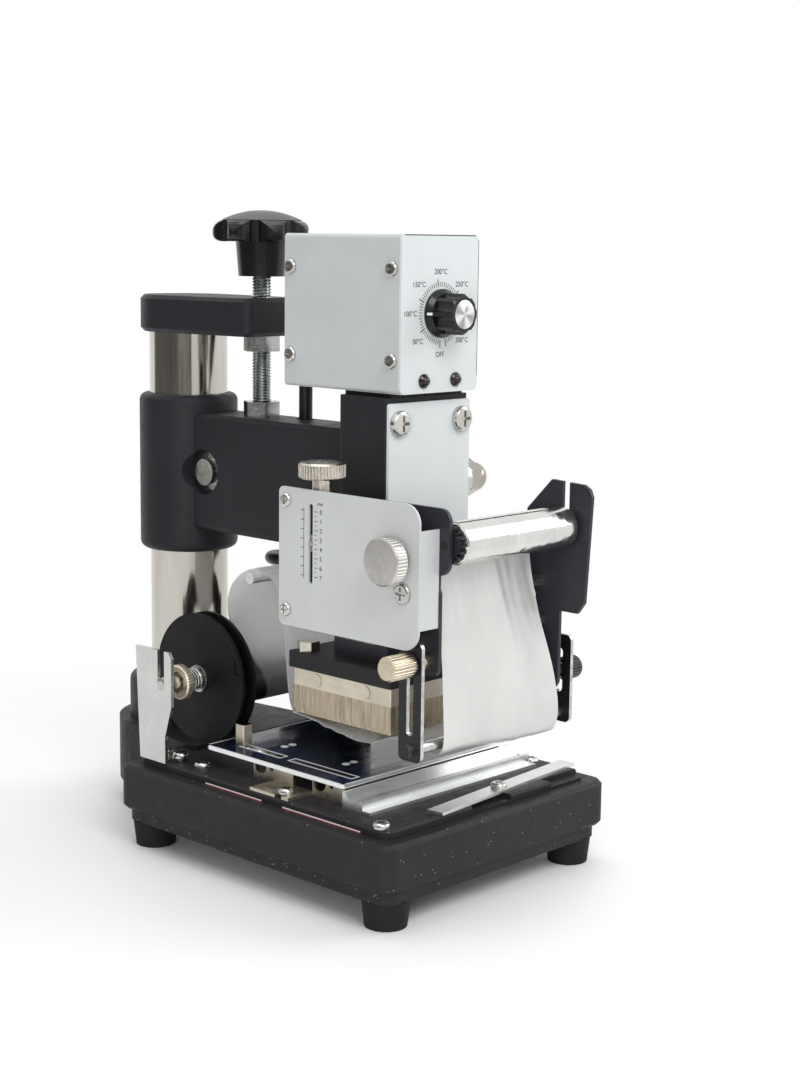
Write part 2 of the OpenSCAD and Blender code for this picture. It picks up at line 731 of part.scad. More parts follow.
module cap_nut() color("#cfc9b8") translate([hub_x + hub_w, ry(pinion_reach), pinion_z]) rotate([0, 90, 0])
    difference() {
        union() {
            intersection() {
                hex(17, 8);
                translate([0, 0, 5]) sphere(r = 10.6);
            }
            cylinder(r = 7.6, h = 10);
            translate([0, 0, 10]) sphere(r = 7.6);
        }
        translate([0, 0, -1]) cylinder(r = thread_r + seat, h = 13 + seat);
    }

// Ram and heated type

module ram_bar() color("#a5a6a6") difference() {
    translate([-ram_w / 2, ry(ram_front), ram_z]) cube([ram_w, ram_front - ram_back, ram_top - ram_z]);
    pitch = PI * gear_m;
    wide = pitch / 4 + 0.05;
    yz(-ram_w, ram_w) for (k = [-3:8]) polygon([for (e = [[1.2, -1], [-1.25, -1], [-1.25, 1], [1.2, 1]])
        [ry(rack_reach) + e[0] * gear_m, pinion_z + k * pitch + e[1] * (wide + tan(20) * e[0] * gear_m)]]);
}

module ram_foot() color("#3a3a3d") difference() {
    translate([0, ry(foot_plate_reach), foot_plate_z])
        linear_extrude(foot_plate_t) rounded_rect(foot_plate_w, foot_plate_l, 3);
    for (s = [-1, 1]) translate([s * rod_x, ry(rod_reach), foot_plate_z - 1])
        cylinder(r = rod_r + seat, h = 20);
}

module guide_rods() color("#bdbdb9") for (s = [-1, 1]) translate([s * rod_x, ry(rod_reach), 0]) {
    translate([0, 0, foot_plate_z]) cylinder(r = rod_r, h = collar_z + collar_h - foot_plate_z);
    translate([0, 0, collar_z]) cylinder(r = collar_r, h = collar_h);
}

module insulator_plate() color("#1f1f21") difference() {
    translate([0, ry(type_reach - 1.5), insulator_z]) linear_extrude(insulator_t)
        rounded_rect(type_w + 1, type_l + 3, 1);
    bolt_holes(insulator_z - 1, insulator_t + 2);
}

module bolt_holes(z, h) for (sx = [-1, 1], sy = [-1, 1])
    translate([sx * bolt_x, ry(type_reach) + sy * bolt_dy, z]) cylinder(r = bolt_r + seat, h = h);

module heater_bolts() color("#cfcabd") for (sx = [-1, 1], sy = [-1, 1])
    translate([sx * bolt_x, ry(type_reach) + sy * bolt_dy, 0]) {
        translate([0, 0, heater_z + 1]) cylinder(r = bolt_r, h = foot_plate_z - heater_z);
        translate([0, 0, foot_plate_z]) hex(bolt_af, bolt_head_h);
    }

module heater_block() color("#d8d2c2") difference() {
    translate([0, ry(type_reach), heater_z]) linear_extrude(heater_t) rounded_rect(type_w, type_l, 0.8);
    bolt_holes(heater_z + 1, heater_t);
    for (d = heater_offsets())
        x_rod(type_reach + d, heater_z + heater_t / 2, heater_r + seat, -type_w, type_w);
}
function heater_offsets() = [-type_l / 4, type_l / 4];

// Heating rods and the terminal cap that the lead enters
module cartridge_heaters() color("#b9b2a4") {
    for (d = heater_offsets()) x_rod(type_reach + d, heater_z + heater_t / 2, heater_r,
        -type_w / 2 - 0.5, type_w / 2 + 4);
    yz(type_w / 2 + 3, type_w / 2 + 3 + terminal_w) yz_at(type_reach, heater_z + heater_t / 2)
        rounded_rect(terminal_l, heater_t - 1, 2);
}

module type_holder() color("#b7a98c") translate([0, ry(type_reach), holder_z])
    linear_extrude(holder_t) rounded_rect(type_w, type_l, 0.8);

module type_plate() color("#8c8a86") translate([0, ry(type_reach), type_z])
    linear_extrude(type_plate_t) rounded_rect(type_w - 1.4, type_l - 1.4, 0.8);

// Control box

module box_spacer() color("#151517") translate([0, ry(head_reach + head_d / 2), head_top])
    linear_extrude(box_z - head_top) rounded_rect(head_w - 7, head_d - 1, 1);

// Front, bottom and back in one bent sheet, with flanges for the side screws
module box_chassis() color("#dadcdc") difference() {
    inner = box_w - 2 * sheet_t - 0.1;
    wall_h = box_h - 2 * sheet_t;
    union() {
        translate([0, ry(box_front - sheet_t), box_z + box_h / 2]) rotate([90, 0, 0])
            linear_extrude(sheet_t) rounded_rect(box_w, box_h, panel_r);
        translate([-inner / 2, ry(box_front - sheet_t / 2), box_z]) cube([inner, box_d - sheet_t, sheet_t]);
        translate([-inner / 2, ry(box_back + sheet_t), box_z]) cube([inner, sheet_t, wall_h]);
        for (s = [-1, 1], r = [box_back + sheet_t + flange_w - 0.2, box_front - sheet_t + 0.2])
            translate([s * (inner / 2 - sheet_t / 2) - sheet_t / 2, ry(r), box_z])
                cube([sheet_t, flange_w, wall_h]);
        translate([cable_x, ry(box_back + 0.1), cable_exit_z]) rotate([-90, 0, 0])
            rotate_extrude() polygon([[0, 0], [gland_r, 0], [gland_r, gland_l - 1.1],
                [gland_r - 1, gland_l + 0.1], [0, gland_l + 0.1]]);
    }
    translate([0, ry(box_front + 1), dial_z]) rotate([-90, 0, 0]) cylinder(r = dial_shaft_r + run, h = 4);
    for (s = [-1, 1]) translate([s * lamp_x, ry(box_front + 1), lamp_z]) rotate([-90, 0, 0])
        cylinder(r = 2.5 + seat, h = 4);
    box_screw_holes();
}

module box_screw_holes() for (s = [-1, 1], p = box_screw_places())
    translate([s * (box_w / 2 - 6), ry(p[0]), p[1]]) rotate([0, s * 90, 0]) cylinder(r = 1.5 + seat, h = 8);

// Top and both sides in one bent sheet
module box_cover() color("#d3d6d6") difference() {
    outer_front = box_front - sheet_t;
    translate([0, ry(outer_front), box_z + box_h / 2]) rotate([-90, 0, 0])
        linear_extrude(outer_front - box_back) difference() {
            rounded_rect(box_w, box_h, 2);
            translate([0, sheet_t]) rounded_rect(box_w - 2 * sheet_t, box_h, 1);
        }
    box_screw_holes();
}

module thermostat() color("#bfb8a8") difference() {
    translate([-thermostat_w / 2, ry(box_front - sheet_t), dial_z - thermostat_w / 2])
        cube([thermostat_w, thermostat_l, thermostat_w]);
    translate([0, ry(box_front), dial_z]) rotate([-90, 0, 0]) cylinder(r = dial_shaft_r + run, h = 15);
}

module indicator_lamps() color("#3b1512") for (s = [-1, 1]) translate([s * lamp_x, ry(box_front), lamp_z])
    rotate([90, 0, 0]) {
        rotate_extrude() polygon(concat([[0, 0], [3.4, 0], [3.4, 0.8]], arc(0, 0.8, 2.6, 25, 90, 4)));
        translate([0, 0, -8]) cylinder(r = 2.5, h = 8.2);
    }

// Knob with wide finger flutes above a skirt, on the thermostat's shaft
module dial_knob() color("#17171a") translate([0, ry(box_front), dial_z]) rotate([90, 0, 0]) {
    translate([0, 0, -13]) cylinder(r = dial_shaft_r, h = 18);
    translate([0, 0, 0.5]) rotate_extrude() polygon([[0, 0], [knob_skirt_r, 0], [knob_skirt_r, 1.4],
        [knob_r, 3.4], [0, 3.4]]);
    translate([0, 0, 3]) intersection() {
        linear_extrude(knob_l - 3) difference() {
            circle(r = knob_r);
            for (i = [0:knob_flutes - 1]) rotate(360 * (i + 0.5) / knob_flutes)
                translate([knob_r + 2.2, 0]) circle(r = 3.8, $fn = 24);
        }
        rotate_extrude() polygon([[0, 0], [knob_r, 0], [knob_r, knob_l - 4.2], [knob_r - 1.2, knob_l - 3],
            [0, knob_l - 3]]);
    }
}

// Foil feed plates

module left_plate() color("#1b1b1d") difference() {
    union() {
        yz(-plate_out, -plate_x) {
            yz_rect(feed_rear + 3, feed_front - 0.5, arm_z - 31.5, feed_top - 2.5, 3);
            yz_rect(front_post_reach - 2.6, takeup_reach + 3.2, arm_z + 5, feed_top - 2.5, 6);
            guide_lug(stud_heights[0]);
        }
        for (z = [tab_low, tab_top - plate_t]) translate([-feed_x + 0.2, ry(slot_reach + tab_w / 2), z])
            cube([feed_x - plate_out + 0.3, tab_w, plate_t]);
    }
    x_rod(takeup_reach, takeup_z, journal_r + run, -feed_x, 0);
    x_rod(knob_reach, knob_z, thread6_r + run, -feed_x, 0);
    x_rod(guide_reach, stud_heights[0], stud_r + seat, -feed_x, 0);
    translate([-thumb_x, ry(slot_reach), tab_low - 1])
        cylinder(r = thread6_r + run, h = tab_top - tab_low + 2);
}

// Tongue of a side plate that carries a guide stud
module guide_lug(z) yz_rect(guide_reach - lug_w / 2, guide_reach + lug_w / 2, z - lug_margin, arm_z, 4);

module right_plate() color("#1b1b1d") difference() {
    yz(plate_x, plate_out) {
        polygon([for (p = [[ear_rear, arm_z + 2.5], [ear_rear, ear_top - 15.5], [ear_rear + 15, ear_top],
            [plate_reach - 5, ear_top - 1], [plate_reach - 1.5, ear_top - 3], [plate_reach, ear_top - 6.5],
            [plate_reach - 3, ear_low + 5.5], [plate_reach - 7, ear_low], [ear_rear + 8.5, ear_low]])
                [ry(p[0]), p[1]]]);
        guide_lug(stud_heights[1]);
    }
    yz(plate_x - 1, plate_out + 1) {
        yz_at(takeup_reach, takeup_z) circle(r = journal_r + run);
        yz_rect(takeup_reach - journal_r - run, takeup_reach + journal_r + run, takeup_z, ear_top + 10, 0.1);
    }
    x_rod(guide_reach, stud_heights[1], stud_r + seat, 0, feed_x);
}

module feed_plate() color("#d9dbdb") difference() {
    union() {
        yz(-feed_x - sheet_t, -feed_x) {
            yz_rect(feed_rear, feed_front - 10, feed_z, feed_top, 3);
            yz_rect(feed_rear + 20, feed_front, feed_z, feed_top, 9);
        }
        translate([-feed_x - 0.1, ry(feed_front), feed_z + 9.7])
            cube([feed_x - plate_out + 0.1, sheet_t, feed_top - feed_z - 21.6]);
    }
    yz(-feed_x - 3, -feed_x + 1)
        yz_rect(slot_reach - slot_w / 2, slot_reach + slot_w / 2, slot_low, slot_high, slot_w / 2 - 0.01);
    x_rod(knob_reach, knob_z, thread6_r + run, -feed_x - 5, 0);
    for (p = post_places) x_rod(p[0], p[1], 1.5 + seat, -feed_x - 5, -feed_x + 1);
}

// Tie rods and the spacers that carry the plates
module cross_rods() color("#a9a9a6") {
    for (p = tie_places) x_rod(p[0], p[1], tie_r, -plate_x, plate_x);
    for (p = post_places) difference() {
        x_rod(p[0], p[1], post_r, -feed_x, -plate_out);
        x_rod(p[0], p[1], 1.5 + seat, -feed_x - 1, -feed_x + 6);
    }
    for (p = head_post_places) x_rod(p[0], p[1], 5, -plate_x, -head_w / 2);
}

// Angle strip under the arm with the rod that the foil passes over, free at its left end
module rear_guide_bracket() color("#2b2b2e") {
    half = rear_bracket_w / 2;
    yz_box(-arm_w / 2, plate_out, rear_guide_reach - half, rear_guide_reach + half, arm_z - plate_t, arm_z);
    yz_box(plate_x, plate_out, rear_guide_reach - half, rear_guide_reach + half, rear_guide_z - 5, arm_z);
    x_rod(rear_guide_reach, rear_guide_z, guide_r, -foil_w / 2 - 2, plate_out + 2);
}

// Shouldered studs with thumb nuts that clamp the front guide
module guide_nuts() color("#c2b391") for (k = [0, 1]) translate([(k - 0.5) * 2 * (plate_x + 0.2),
    ry(guide_reach), stud_heights[k]]) rotate([0, k == 0 ? -90 : 90, 0]) {
        out = guide_x - plate_x - 0.2;
        cylinder(r = stud_r, h = out + plate_t + 6);
        translate([0, 0, plate_t - 0.2]) cylinder(r = stud_shoulder_r, h = out - plate_t + 0.2 - run);
        translate([0, 0, out + plate_t + run]) knurled(guide_nut_r, guide_nut_l[k], knurl_c, 24);
    }

// Two slotted brackets and the rod that the foil turns round
module guide_frame() color("#202022") {
    rod_end = guide_x + plate_t + 3;
    for (k = [0, 1]) difference() {
        x = k == 0 ? -guide_x - plate_t : guide_x;
        yz(x, x + plate_t)
            yz_rect(guide_reach - guide_w / 2, guide_reach + guide_w / 2, guide_low, guide_tops[k], 3);
        yz(x - 1, x + plate_t + 1) yz_rect(guide_reach - stud_r - run, guide_reach + stud_r + run,
            guide_slots[k][0], guide_slots[k][1], stud_r);
        x_rod(guide_reach, guide_z, guide_r + seat, -rod_end, rod_end);
    }
    x_rod(guide_reach, guide_z, guide_r, -rod_end, rod_end);
}

// Feed-length setting: thumb screw and the slider that it drives

module feed_screw() color("#b7ab94") translate([-thumb_x, ry(slot_reach), 0]) {
    translate([0, 0, tab_low - 3]) cylinder(r = thread6_r, h = tab_top - tab_low + thumb_neck_h);
    translate([0, 0, tab_top + run]) cylinder(r = thumb_neck_r, h = thumb_neck_h);
    translate([0, 0, tab_top + thumb_neck_h]) knurled(thumb_r, thumb_h, knurl_c, 44);
}

module feed_slider() color("#3c3c40") {
    difference() {
        translate([-feed_x + 0.2, ry(slot_reach + slider_w / 2), slider_z - slider_h / 2])
            cube([feed_x - plate_out - 0.4, slider_w, slider_h]);
        translate([-thumb_x, ry(slot_reach), slider_z - slider_h])
            cylinder(r = thread6_r + run, h = 2 * slider_h);
    }
    x_rod(slot_reach, slider_z, slot_w / 2 - 0.2, -feed_x - sheet_t - 0.4, -feed_x + 0.5);
}

// Take-up roll, its gear shaft and the knob that drives it

module takeup_shaft() color("#b9b9b6") {
    x_rod(takeup_reach, takeup_z, takeup_core_r, -gear_x, gear_x);
    x_rod(takeup_reach, takeup_z, journal_r, -plate_out, plate_out + 4);
    yz(-gear_x, -gear_x + gear_w) yz_at(takeup_reach, takeup_z) rotate(gear_dir)
        polygon(gear_outline(feed_teeth, 0.12));
}

module takeup_roll() color("#d2d3d4") difference() {
    x_rod(takeup_reach, takeup_z, takeup_r, -gear_x + gear_w, gear_x - 1.7);
    x_rod(takeup_reach, takeup_z, takeup_core_r + seat, -plate_x, plate_x);
}

module takeup_knob() color("#bab6ab") {
    x_rod(knob_reach, knob_z, thread6_r, -feed_x - 8, -gear_x + gear_w);
    yz(-gear_x, -gear_x + gear_w) yz_at(knob_reach, knob_z)
        rotate(gear_dir + 180 + 180 / feed_teeth) polygon(gear_outline(feed_teeth, 0.12));
    yz(-feed_x - 7, -feed_x - sheet_t - free) yz_at(knob_reach, knob_z) circle(r = 6);
    translate([-feed_x - 6.9, ry(knob_reach), knob_z]) rotate([0, -90, 0])
        knurled(takeup_knob_r, takeup_knob_l, knurl_c, 44);
}

// Foil web: reel, rear guide, under the type, front guide, take-up roll

function polar(c, r, a) = c + r * [cos(a), sin(a)];
function angle_of(v) = atan2(v[1], v[0]);
// Angle on a circle where the line from point p touches it, on the clockwise side
function touch(c, r, p) = angle_of(p - c) - acos(r / norm(p - c));
reel_c = [ry(spindle_reach), spindle_z];
rear_c = [ry(rear_guide_reach), rear_guide_z];
front_c = [ry(guide_reach), guide_z];
roll_c = [ry(takeup_reach), takeup_z];
web_off = free + web_t / 2;
reel_rr = supply_r + web_off;
bar_rr = guide_r + web_off;
roll_rr = takeup_r + web_off;
under_z = type_z - web_off;
type_rear = [ry(type_reach - type_l / 2) + 0.8, under_z];
type_front = [ry(type_reach + type_l / 2) - 0.8, under_z];
reel_a = angle_of(rear_c - reel_c) + acos((reel_rr + bar_rr) / norm(rear_c - reel_c));
rear_a = touch(rear_c, bar_rr, type_rear) + 360;
front_a0 = touch(front_c, bar_rr, type_front) + 360;
front_a1 = angle_of(roll_c - front_c) + acos((bar_rr + roll_rr) / norm(roll_c - front_c));
web_path = concat([polar(reel_c, reel_rr, reel_a)], arc(rear_c[0], rear_c[1], bar_rr, reel_a - 180, rear_a, 10),
    [type_rear, type_front], arc(front_c[0], front_c[1], bar_rr, front_a0, front_a1, 8),
    [polar(roll_c, -roll_rr, front_a1)]);
function path_normal(p, i) = let (t = unit(p[min(i + 1, len(p) - 1)] - p[max(i - 1, 0)])) [-t[1], t[0]];

module foil_web() color("#e3e4e6") yz(-foil_w / 2, foil_w / 2) {
    n = len(web_path) - 1;
    polygon(concat([for (i = [0:n]) web_path[i] + web_t / 2 * path_normal(web_path, i)],
        [for (i = [n:-1:0]) web_path[i] - web_t / 2 * path_normal(web_path, i)]));
}

// Heater lead, from the back of the box through the arm and round the foil to the heater
module heater_cable() color("#141416")
    tube([for (p = cable_route) [p[0], ry(p[1]), p[2]]], cable_r, 8, [1, 0, 0]);

// Supply reel

// Upright slotted plate with a foot turned inwards
module reel_brackets() color("#b4b6b8") for (s = [-1, 1]) {
    x0 = s > 0 ? bracket_x - bracket_t : -bracket_x;
    difference() {
        union() {
            yz(x0, x0 + bracket_t) polygon([for (p = [[bracket_front - 5, 0], [bracket_front - 5, 14],
                [bracket_front, 30], [bracket_front, bracket_h - 3], [bracket_front - 2, bracket_h],
                [bracket_front - bracket_w, bracket_h], [bracket_front - bracket_w + 3, 0]])
                    [ry(p[0]), deck_z + p[1]]]);
            translate([s > 0 ? bracket_x - 17 : -bracket_x + bracket_t - 0.1, ry(bracket_front - 5), deck_z])
                cube([17 - bracket_t + 0.1, 20, bracket_t]);
        }
        yz(x0 - 1, x0 + bracket_t + 1) {
            yz_at(spindle_reach, spindle_z) circle(r = spindle_end_r + run);
            yz_rect(spindle_reach - spindle_end_r - run, spindle_reach + spindle_end_r + run,
                spindle_z, deck_z + bracket_h + 5, 0.1);
        }
        for (d = [5, 17]) translate([s * (bracket_x - 10), ry(bracket_front - d), deck_z - 1])
            cylinder(r = pan_shank_r + seat, h = 5);
    }
}

module supply_spindle() color("#a2a3a3") {
    x_rod(spindle_reach, spindle_z, spindle_r, -bracket_x + bracket_t + 0.1, bracket_x - bracket_t - 0.1);
    x_rod(spindle_reach, spindle_z, spindle_end_r, -bracket_x, bracket_x);
}

// Core tube with a disc at each end and a friction disc on the brake side
module supply_reel() color("#1e1e20") difference() {
    union() {
        x_rod(spindle_reach, spindle_z, core_r, -disc_x - 0.1, disc_x + 0.1);
        x_rod(spindle_reach, spindle_z, hub_disc_r, -outer_disc_x - 0.1, -disc_x);
        x_rod(spindle_reach, spindle_z, disc_r, -outer_disc_x - disc_t, -outer_disc_x);
        for (s = [-1, 1]) x_rod(spindle_reach, spindle_z, disc_r, s > 0 ? disc_x : -disc_x - disc_t,
            s > 0 ? disc_x + disc_t : -disc_x);
    }
    x_rod(spindle_reach, spindle_z, spindle_r + run, -outer_disc_x - 10, disc_x + 10);
    for (c = [[0.9, 7], [4.5, 0.9]])
        translate([-outer_disc_x - disc_t - 1, ry(spindle_reach + 0.82 * disc_r + c[0]),
            spindle_z + 0.195 * disc_r]) cube([1.6, c[0], c[1]]);
}

module supply_roll() color("#cfd0d2") difference() {
    x_rod(spindle_reach, spindle_z, supply_r, -foil_w / 2, foil_w / 2);
    x_rod(spindle_reach, spindle_z, core_r + seat, -foil_w, foil_w);
}

// Friction washer and the spring that presses it on the outer disc
module brake_spring() color("#a6a8aa") {
    difference() {
        x_rod(spindle_reach, spindle_z, 7, -spring_x, -spring_x + washer_t);
        x_rod(spindle_reach, spindle_z, spindle_r + run, -spring_x - 1, -spring_x + 2);
    }
    translate([-spring_x - 0.05, ry(spindle_reach), spindle_z]) rotate([0, -90, 0])
        tube(brake_coil(), wire_r, 6, [1, 0, 0]);
}
function brake_coil() = coil(spring_r, spring_turns, spring_l - 0.1, wire_r);
echo("least gap between turns, brake spring", least_gap(brake_coil(), wire_r));
echo("least gap between turns, return spring", least_gap(return_coil(), wire_r));

// Knurled nut with a hexagon recess in its face
module brake_nut() color("#d0c6ad") translate([-nut_x, ry(spindle_reach), spindle_z]) rotate([0, -90, 0])
    difference() {
        union() {
            cylinder(r = brake_nut_r - 1.6, h = 1.1);
            translate([0, 0, 1]) knurled(brake_nut_r, brake_nut_l - 1, knurl_c, 36);
        }
        translate([0, 0, -1]) cylinder(r = spindle_r + run, h = brake_nut_l + 2);
        translate([0, 0, brake_nut_l - 2]) hex(2.6 * spindle_r, 3);
    }

// Worktable

module table_plate() color("#20242c") difference() {
    translate([0, ry(table_reach - table_l / 2), table_z]) linear_extrude(table_t)
        rounded_rect(table_w, table_l, 2);
    for (s = [-1, 1], p = table_slots) translate([s * table_slot_x, ry((p[0] + p[1]) / 2), table_z - 1])
        linear_extrude(table_t + 2) rounded_rect(table_slot_w, p[1] - p[0], table_slot_w / 2 - 0.1);
}

// Bent bracket under each side of the plate: notched walls, a flange under the plate and a slotted
// foot for the deck screw; and a square stop post at the rear corner
module table_fittings() color("#cdc5b0") {
    for (s = [0, 1]) mirror([s, 0, 0]) difference() {
        union() {
            yz_box(foot_wall_x - foot_flange, foot_wall_x, foot_rear, foot_front,
                table_z - table_sheet, table_z);
            yz_box(foot_wall_x - table_sheet, foot_wall_x, foot_rear, foot_front, deck_z, table_z);
            yz_box(foot_wall_x - table_sheet, foot_screw_x + 5.5, tab_rear, foot_gap[1], deck_z,
                deck_z + table_sheet);
        }
        yz_box(foot_wall_x - table_sheet - 1, foot_wall_x + 0.01, foot_gap[0], foot_gap[1],
            deck_z + table_sheet, table_z - table_sheet);
        for (p = [foot_rear, foot_gap[1]]) {
            x_rod(p + 5, table_z - table_sheet, notch_r, foot_wall_x - table_sheet - 1, foot_wall_x + 1);
            x_rod(p + 13, table_z - table_sheet, 1.5, foot_wall_x - table_sheet - 1, foot_wall_x + 1);
        }
        translate([foot_screw_x - 3, ry(foot_screw_reach), deck_z - 1]) {
            cylinder(r = pan_shank_r + free, h = 4);
            translate([0, -pan_shank_r - free, 0]) cube([20, 2 * (pan_shank_r + free), 4]);
        }
    }
    translate([-stop_x, ry(stop_reach), table_top]) linear_extrude(stop_h) rounded_rect(6, 6.5, 0.8);
}

// Box between two x, two reaches and two heights
module yz_box(x0, x1, reach_a, reach_b, z0, z1) {
    translate([x0, ry(reach_b), z0]) cube([x1 - x0, reach_b - reach_a, z1 - z0]);
}

// Aluminium section in front of the table
module front_rail() color("#c3c5c7") translate([-rail_l / 2, 0, 0]) yz(0, rail_l)
    translate([ry(rail_reach + rail_w), deck_z])
        polygon([[0, 0], [rail_w, 0], [rail_w, rail_h], [rail_w - 1.6, rail_h], [rail_w - 5.4, 3.6],
            [6.6, 3.6], [6.6, 5.6], [4.7, 5.6], [4.7, 1.4], [0, 1.4]]);

module gauge_strip() color("#c9cacb") translate([gauge_x, ry(gauge_reach), deck_z + run]) rotate(gauge_angle)
    difference() {
        translate([-gauge_left, -gauge_w / 2, 0]) cube([gauge_left + gauge_right, gauge_w, gauge_t]);
        translate([0, 0, -1]) cylinder(r = pan_shank_r + run, h = gauge_t + 2);
    }

base_casting();
rubber_feet();
column();
top_arm();
lock_nut();
reel_brackets();
deck_screws();
supply_spindle();
brake_spring();
front_rail();
brake_nut();
supply_reel();
supply_roll();
table_plate();
table_fittings();
gauge_strip();
arm_casting();
sleeve_clamp();
arm_nut();
head_housing();
front_plate();
panel_screws();
return_springs();
box_spacer();
box_chassis();
box_cover();
thermostat();
indicator_lamps();
left_plate();
right_plate();
feed_plate();
cross_rods();
rear_guide_bracket();
foil_web();
heater_cable();
guide_nuts();
height_screw();
star_knob();
star_knob_cap();
lever_shaft();
pinion();
lever_arm();
lever_grip();
cap_nut();
ram_bar();
ram_foot();
guide_rods();
heater_bolts();
insulator_plate();
heater_block();
cartridge_heaters();
type_holder();
type_plate();
dial_knob();
feed_screw();
feed_slider();
takeup_shaft();
takeup_roll();
takeup_knob();
guide_frame();
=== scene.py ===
"""Looks of the bench hot foil press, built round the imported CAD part, in the part's own frame."""

import math

import bmesh
import bpy
import numpy as np
from mathutils import Matrix, Vector


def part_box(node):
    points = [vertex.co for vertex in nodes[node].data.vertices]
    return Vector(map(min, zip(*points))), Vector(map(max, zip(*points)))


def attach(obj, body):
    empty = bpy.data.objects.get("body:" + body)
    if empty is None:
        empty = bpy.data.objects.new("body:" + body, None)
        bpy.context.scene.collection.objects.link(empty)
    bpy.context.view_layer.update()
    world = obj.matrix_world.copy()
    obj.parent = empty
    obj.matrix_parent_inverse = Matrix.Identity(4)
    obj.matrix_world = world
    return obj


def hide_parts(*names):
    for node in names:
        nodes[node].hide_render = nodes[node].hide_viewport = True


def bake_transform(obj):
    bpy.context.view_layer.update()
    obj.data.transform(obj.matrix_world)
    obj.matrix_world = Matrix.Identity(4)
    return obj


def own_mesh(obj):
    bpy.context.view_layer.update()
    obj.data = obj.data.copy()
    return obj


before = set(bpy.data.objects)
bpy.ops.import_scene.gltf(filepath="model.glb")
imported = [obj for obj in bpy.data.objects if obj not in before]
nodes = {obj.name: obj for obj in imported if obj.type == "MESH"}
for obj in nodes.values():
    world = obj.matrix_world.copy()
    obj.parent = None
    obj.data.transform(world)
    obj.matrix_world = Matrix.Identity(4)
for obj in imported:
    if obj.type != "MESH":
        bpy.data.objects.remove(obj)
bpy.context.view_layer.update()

# Places on the part in millimetres: reach is the distance in front of the column
MM = 0.001
COLUMN_Y = 103.0
SCREW_REACH = 59
REEL_REACH, REEL_Z = 64, 86
TYPE_REACH, TYPE_REAR, TYPE_FRONT = 157.5, 124, 191
TAKEUP_REACH, TAKEUP_Z = 229.4, 174.6
PANEL_REACH, PANEL_Z, DIAL_Z, DIAL_CAP_REACH = 184.52, 275, 275.3, 200
FEED_PLATE_X, FEED_SLOT_REACH, FEED_SLOT_Z = -57.22, 156.7, 168
FILM_Z, FILM_HALF = 77.55, 37.5


def at(x, reach, z):
    """Point in metres from x, distance in front of the column and height in millimetres."""
    return Vector((x, COLUMN_Y - reach, z)) * MM


# Camera, as fitted to the photograph: degrees, millimetres and pixels

VIEW_TURN, VIEW_PITCH, VIEW_ROLL = -46.306, 8.896, 0.709
VIEW_FROM = (-654.622, -682.396, 309.038)
FOCAL_PIXELS, PHOTO_HEIGHT, SENSOR = 1872, 1067, 36


def add_camera():
    turn, pitch, roll = (math.radians(v) for v in (VIEW_TURN, VIEW_PITCH, VIEW_ROLL))
    forward = Vector((-math.sin(turn) * math.cos(pitch), math.cos(turn) * math.cos(pitch),
                      -math.sin(pitch)))
    right = Vector((math.cos(turn), math.sin(turn), 0))
    down = forward.cross(right)
    x_axis = math.cos(roll) * right - math.sin(roll) * down
    y_axis = -(math.sin(roll) * right + math.cos(roll) * down)
    rotation = Matrix((x_axis, y_axis, -forward)).transposed()
    data = bpy.data.cameras.new("camera")
    data.lens = FOCAL_PIXELS * SENSOR / PHOTO_HEIGHT
    data.clip_start, data.clip_end = 0.01, 50
    camera = bpy.data.objects.new("camera", data)
    bpy.context.scene.collection.objects.link(camera)
    camera.matrix_world = Matrix.Translation(Vector(VIEW_FROM) * MM) @ rotation.to_4x4()
    bpy.context.scene.camera = camera


add_camera()


# Mesh helpers

BOX_FACES = ((0, 1, 3, 2), (4, 6, 7, 5), (0, 4, 5, 1), (2, 3, 7, 6), (0, 2, 6, 4), (1, 5, 7, 3))


def new_object(name, verts, faces, smooth_angle=35):
    mesh = bpy.data.meshes.new(name)
    mesh.from_pydata([tuple(v) for v in verts], [], [tuple(f) for f in faces])
    mesh.validate()
    tidy = bmesh.new()
    tidy.from_mesh(mesh)
    bmesh.ops.recalc_face_normals(tidy, faces=tidy.faces)
    tidy.to_mesh(mesh)
    tidy.free()
    mesh.polygons.foreach_set("use_smooth", [True] * len(mesh.polygons))
    mesh.set_sharp_from_angle(angle=math.radians(smooth_angle))
    obj = bpy.data.objects.new(name, mesh)
    bpy.context.scene.collection.objects.link(obj)
    return obj


def finish_piece(obj, body, look, replaced=()):
    """Gives a piece its look and body, and hides the parts it replaces."""
    obj.data.materials.append(LOOKS[look])
    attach(obj, body)
    if replaced:
        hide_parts(*replaced)
    return obj


def polar(radius, angle, z=0.0):
    return Vector((radius * math.cos(angle), radius * math.sin(angle), z))


def grid_faces(rows, cols, wrap):
    faces = []
    for i in range(rows - 1):
        for j in range(cols if wrap else cols - 1):
            k = (j + 1) % cols
            faces.append((i * cols + j, i * cols + k, (i + 1) * cols + k, (i + 1) * cols + j))
    return faces


def end_caps(rows, sides):
    """Flat faces over the first and the last ring of a tube."""
    return [tuple(range(sides)), tuple((rows - 1) * sides + k for k in range(sides))]


def inner_wall(rows, sides):
    """Faces from the last ring back to the first, which leave a hole through the middle."""
    last = (rows - 1) * sides
    return [(last + k, last + (k + 1) % sides, (k + 1) % sides, k) for k in range(sides)]


def tube_mesh(points, radius, sides):
    """Closed tube along points, with frames carried from ring to ring."""
    pts = [Vector(p) for p in points]
    verts, side = [], Vector((1, 0, 0))
    for i, p in enumerate(pts):
        t = (pts[min(i + 1, len(pts) - 1)] - pts[max(i - 1, 0)]).normalized()
        side = (side - side.dot(t) * t).normalized()
        other = t.cross(side)
        for k in range(sides):
            a = 2 * math.pi * k / sides
            verts.append(p + radius * (math.cos(a) * side + math.sin(a) * other))
    return verts, grid_faces(len(pts), sides, True) + end_caps(len(pts), sides)


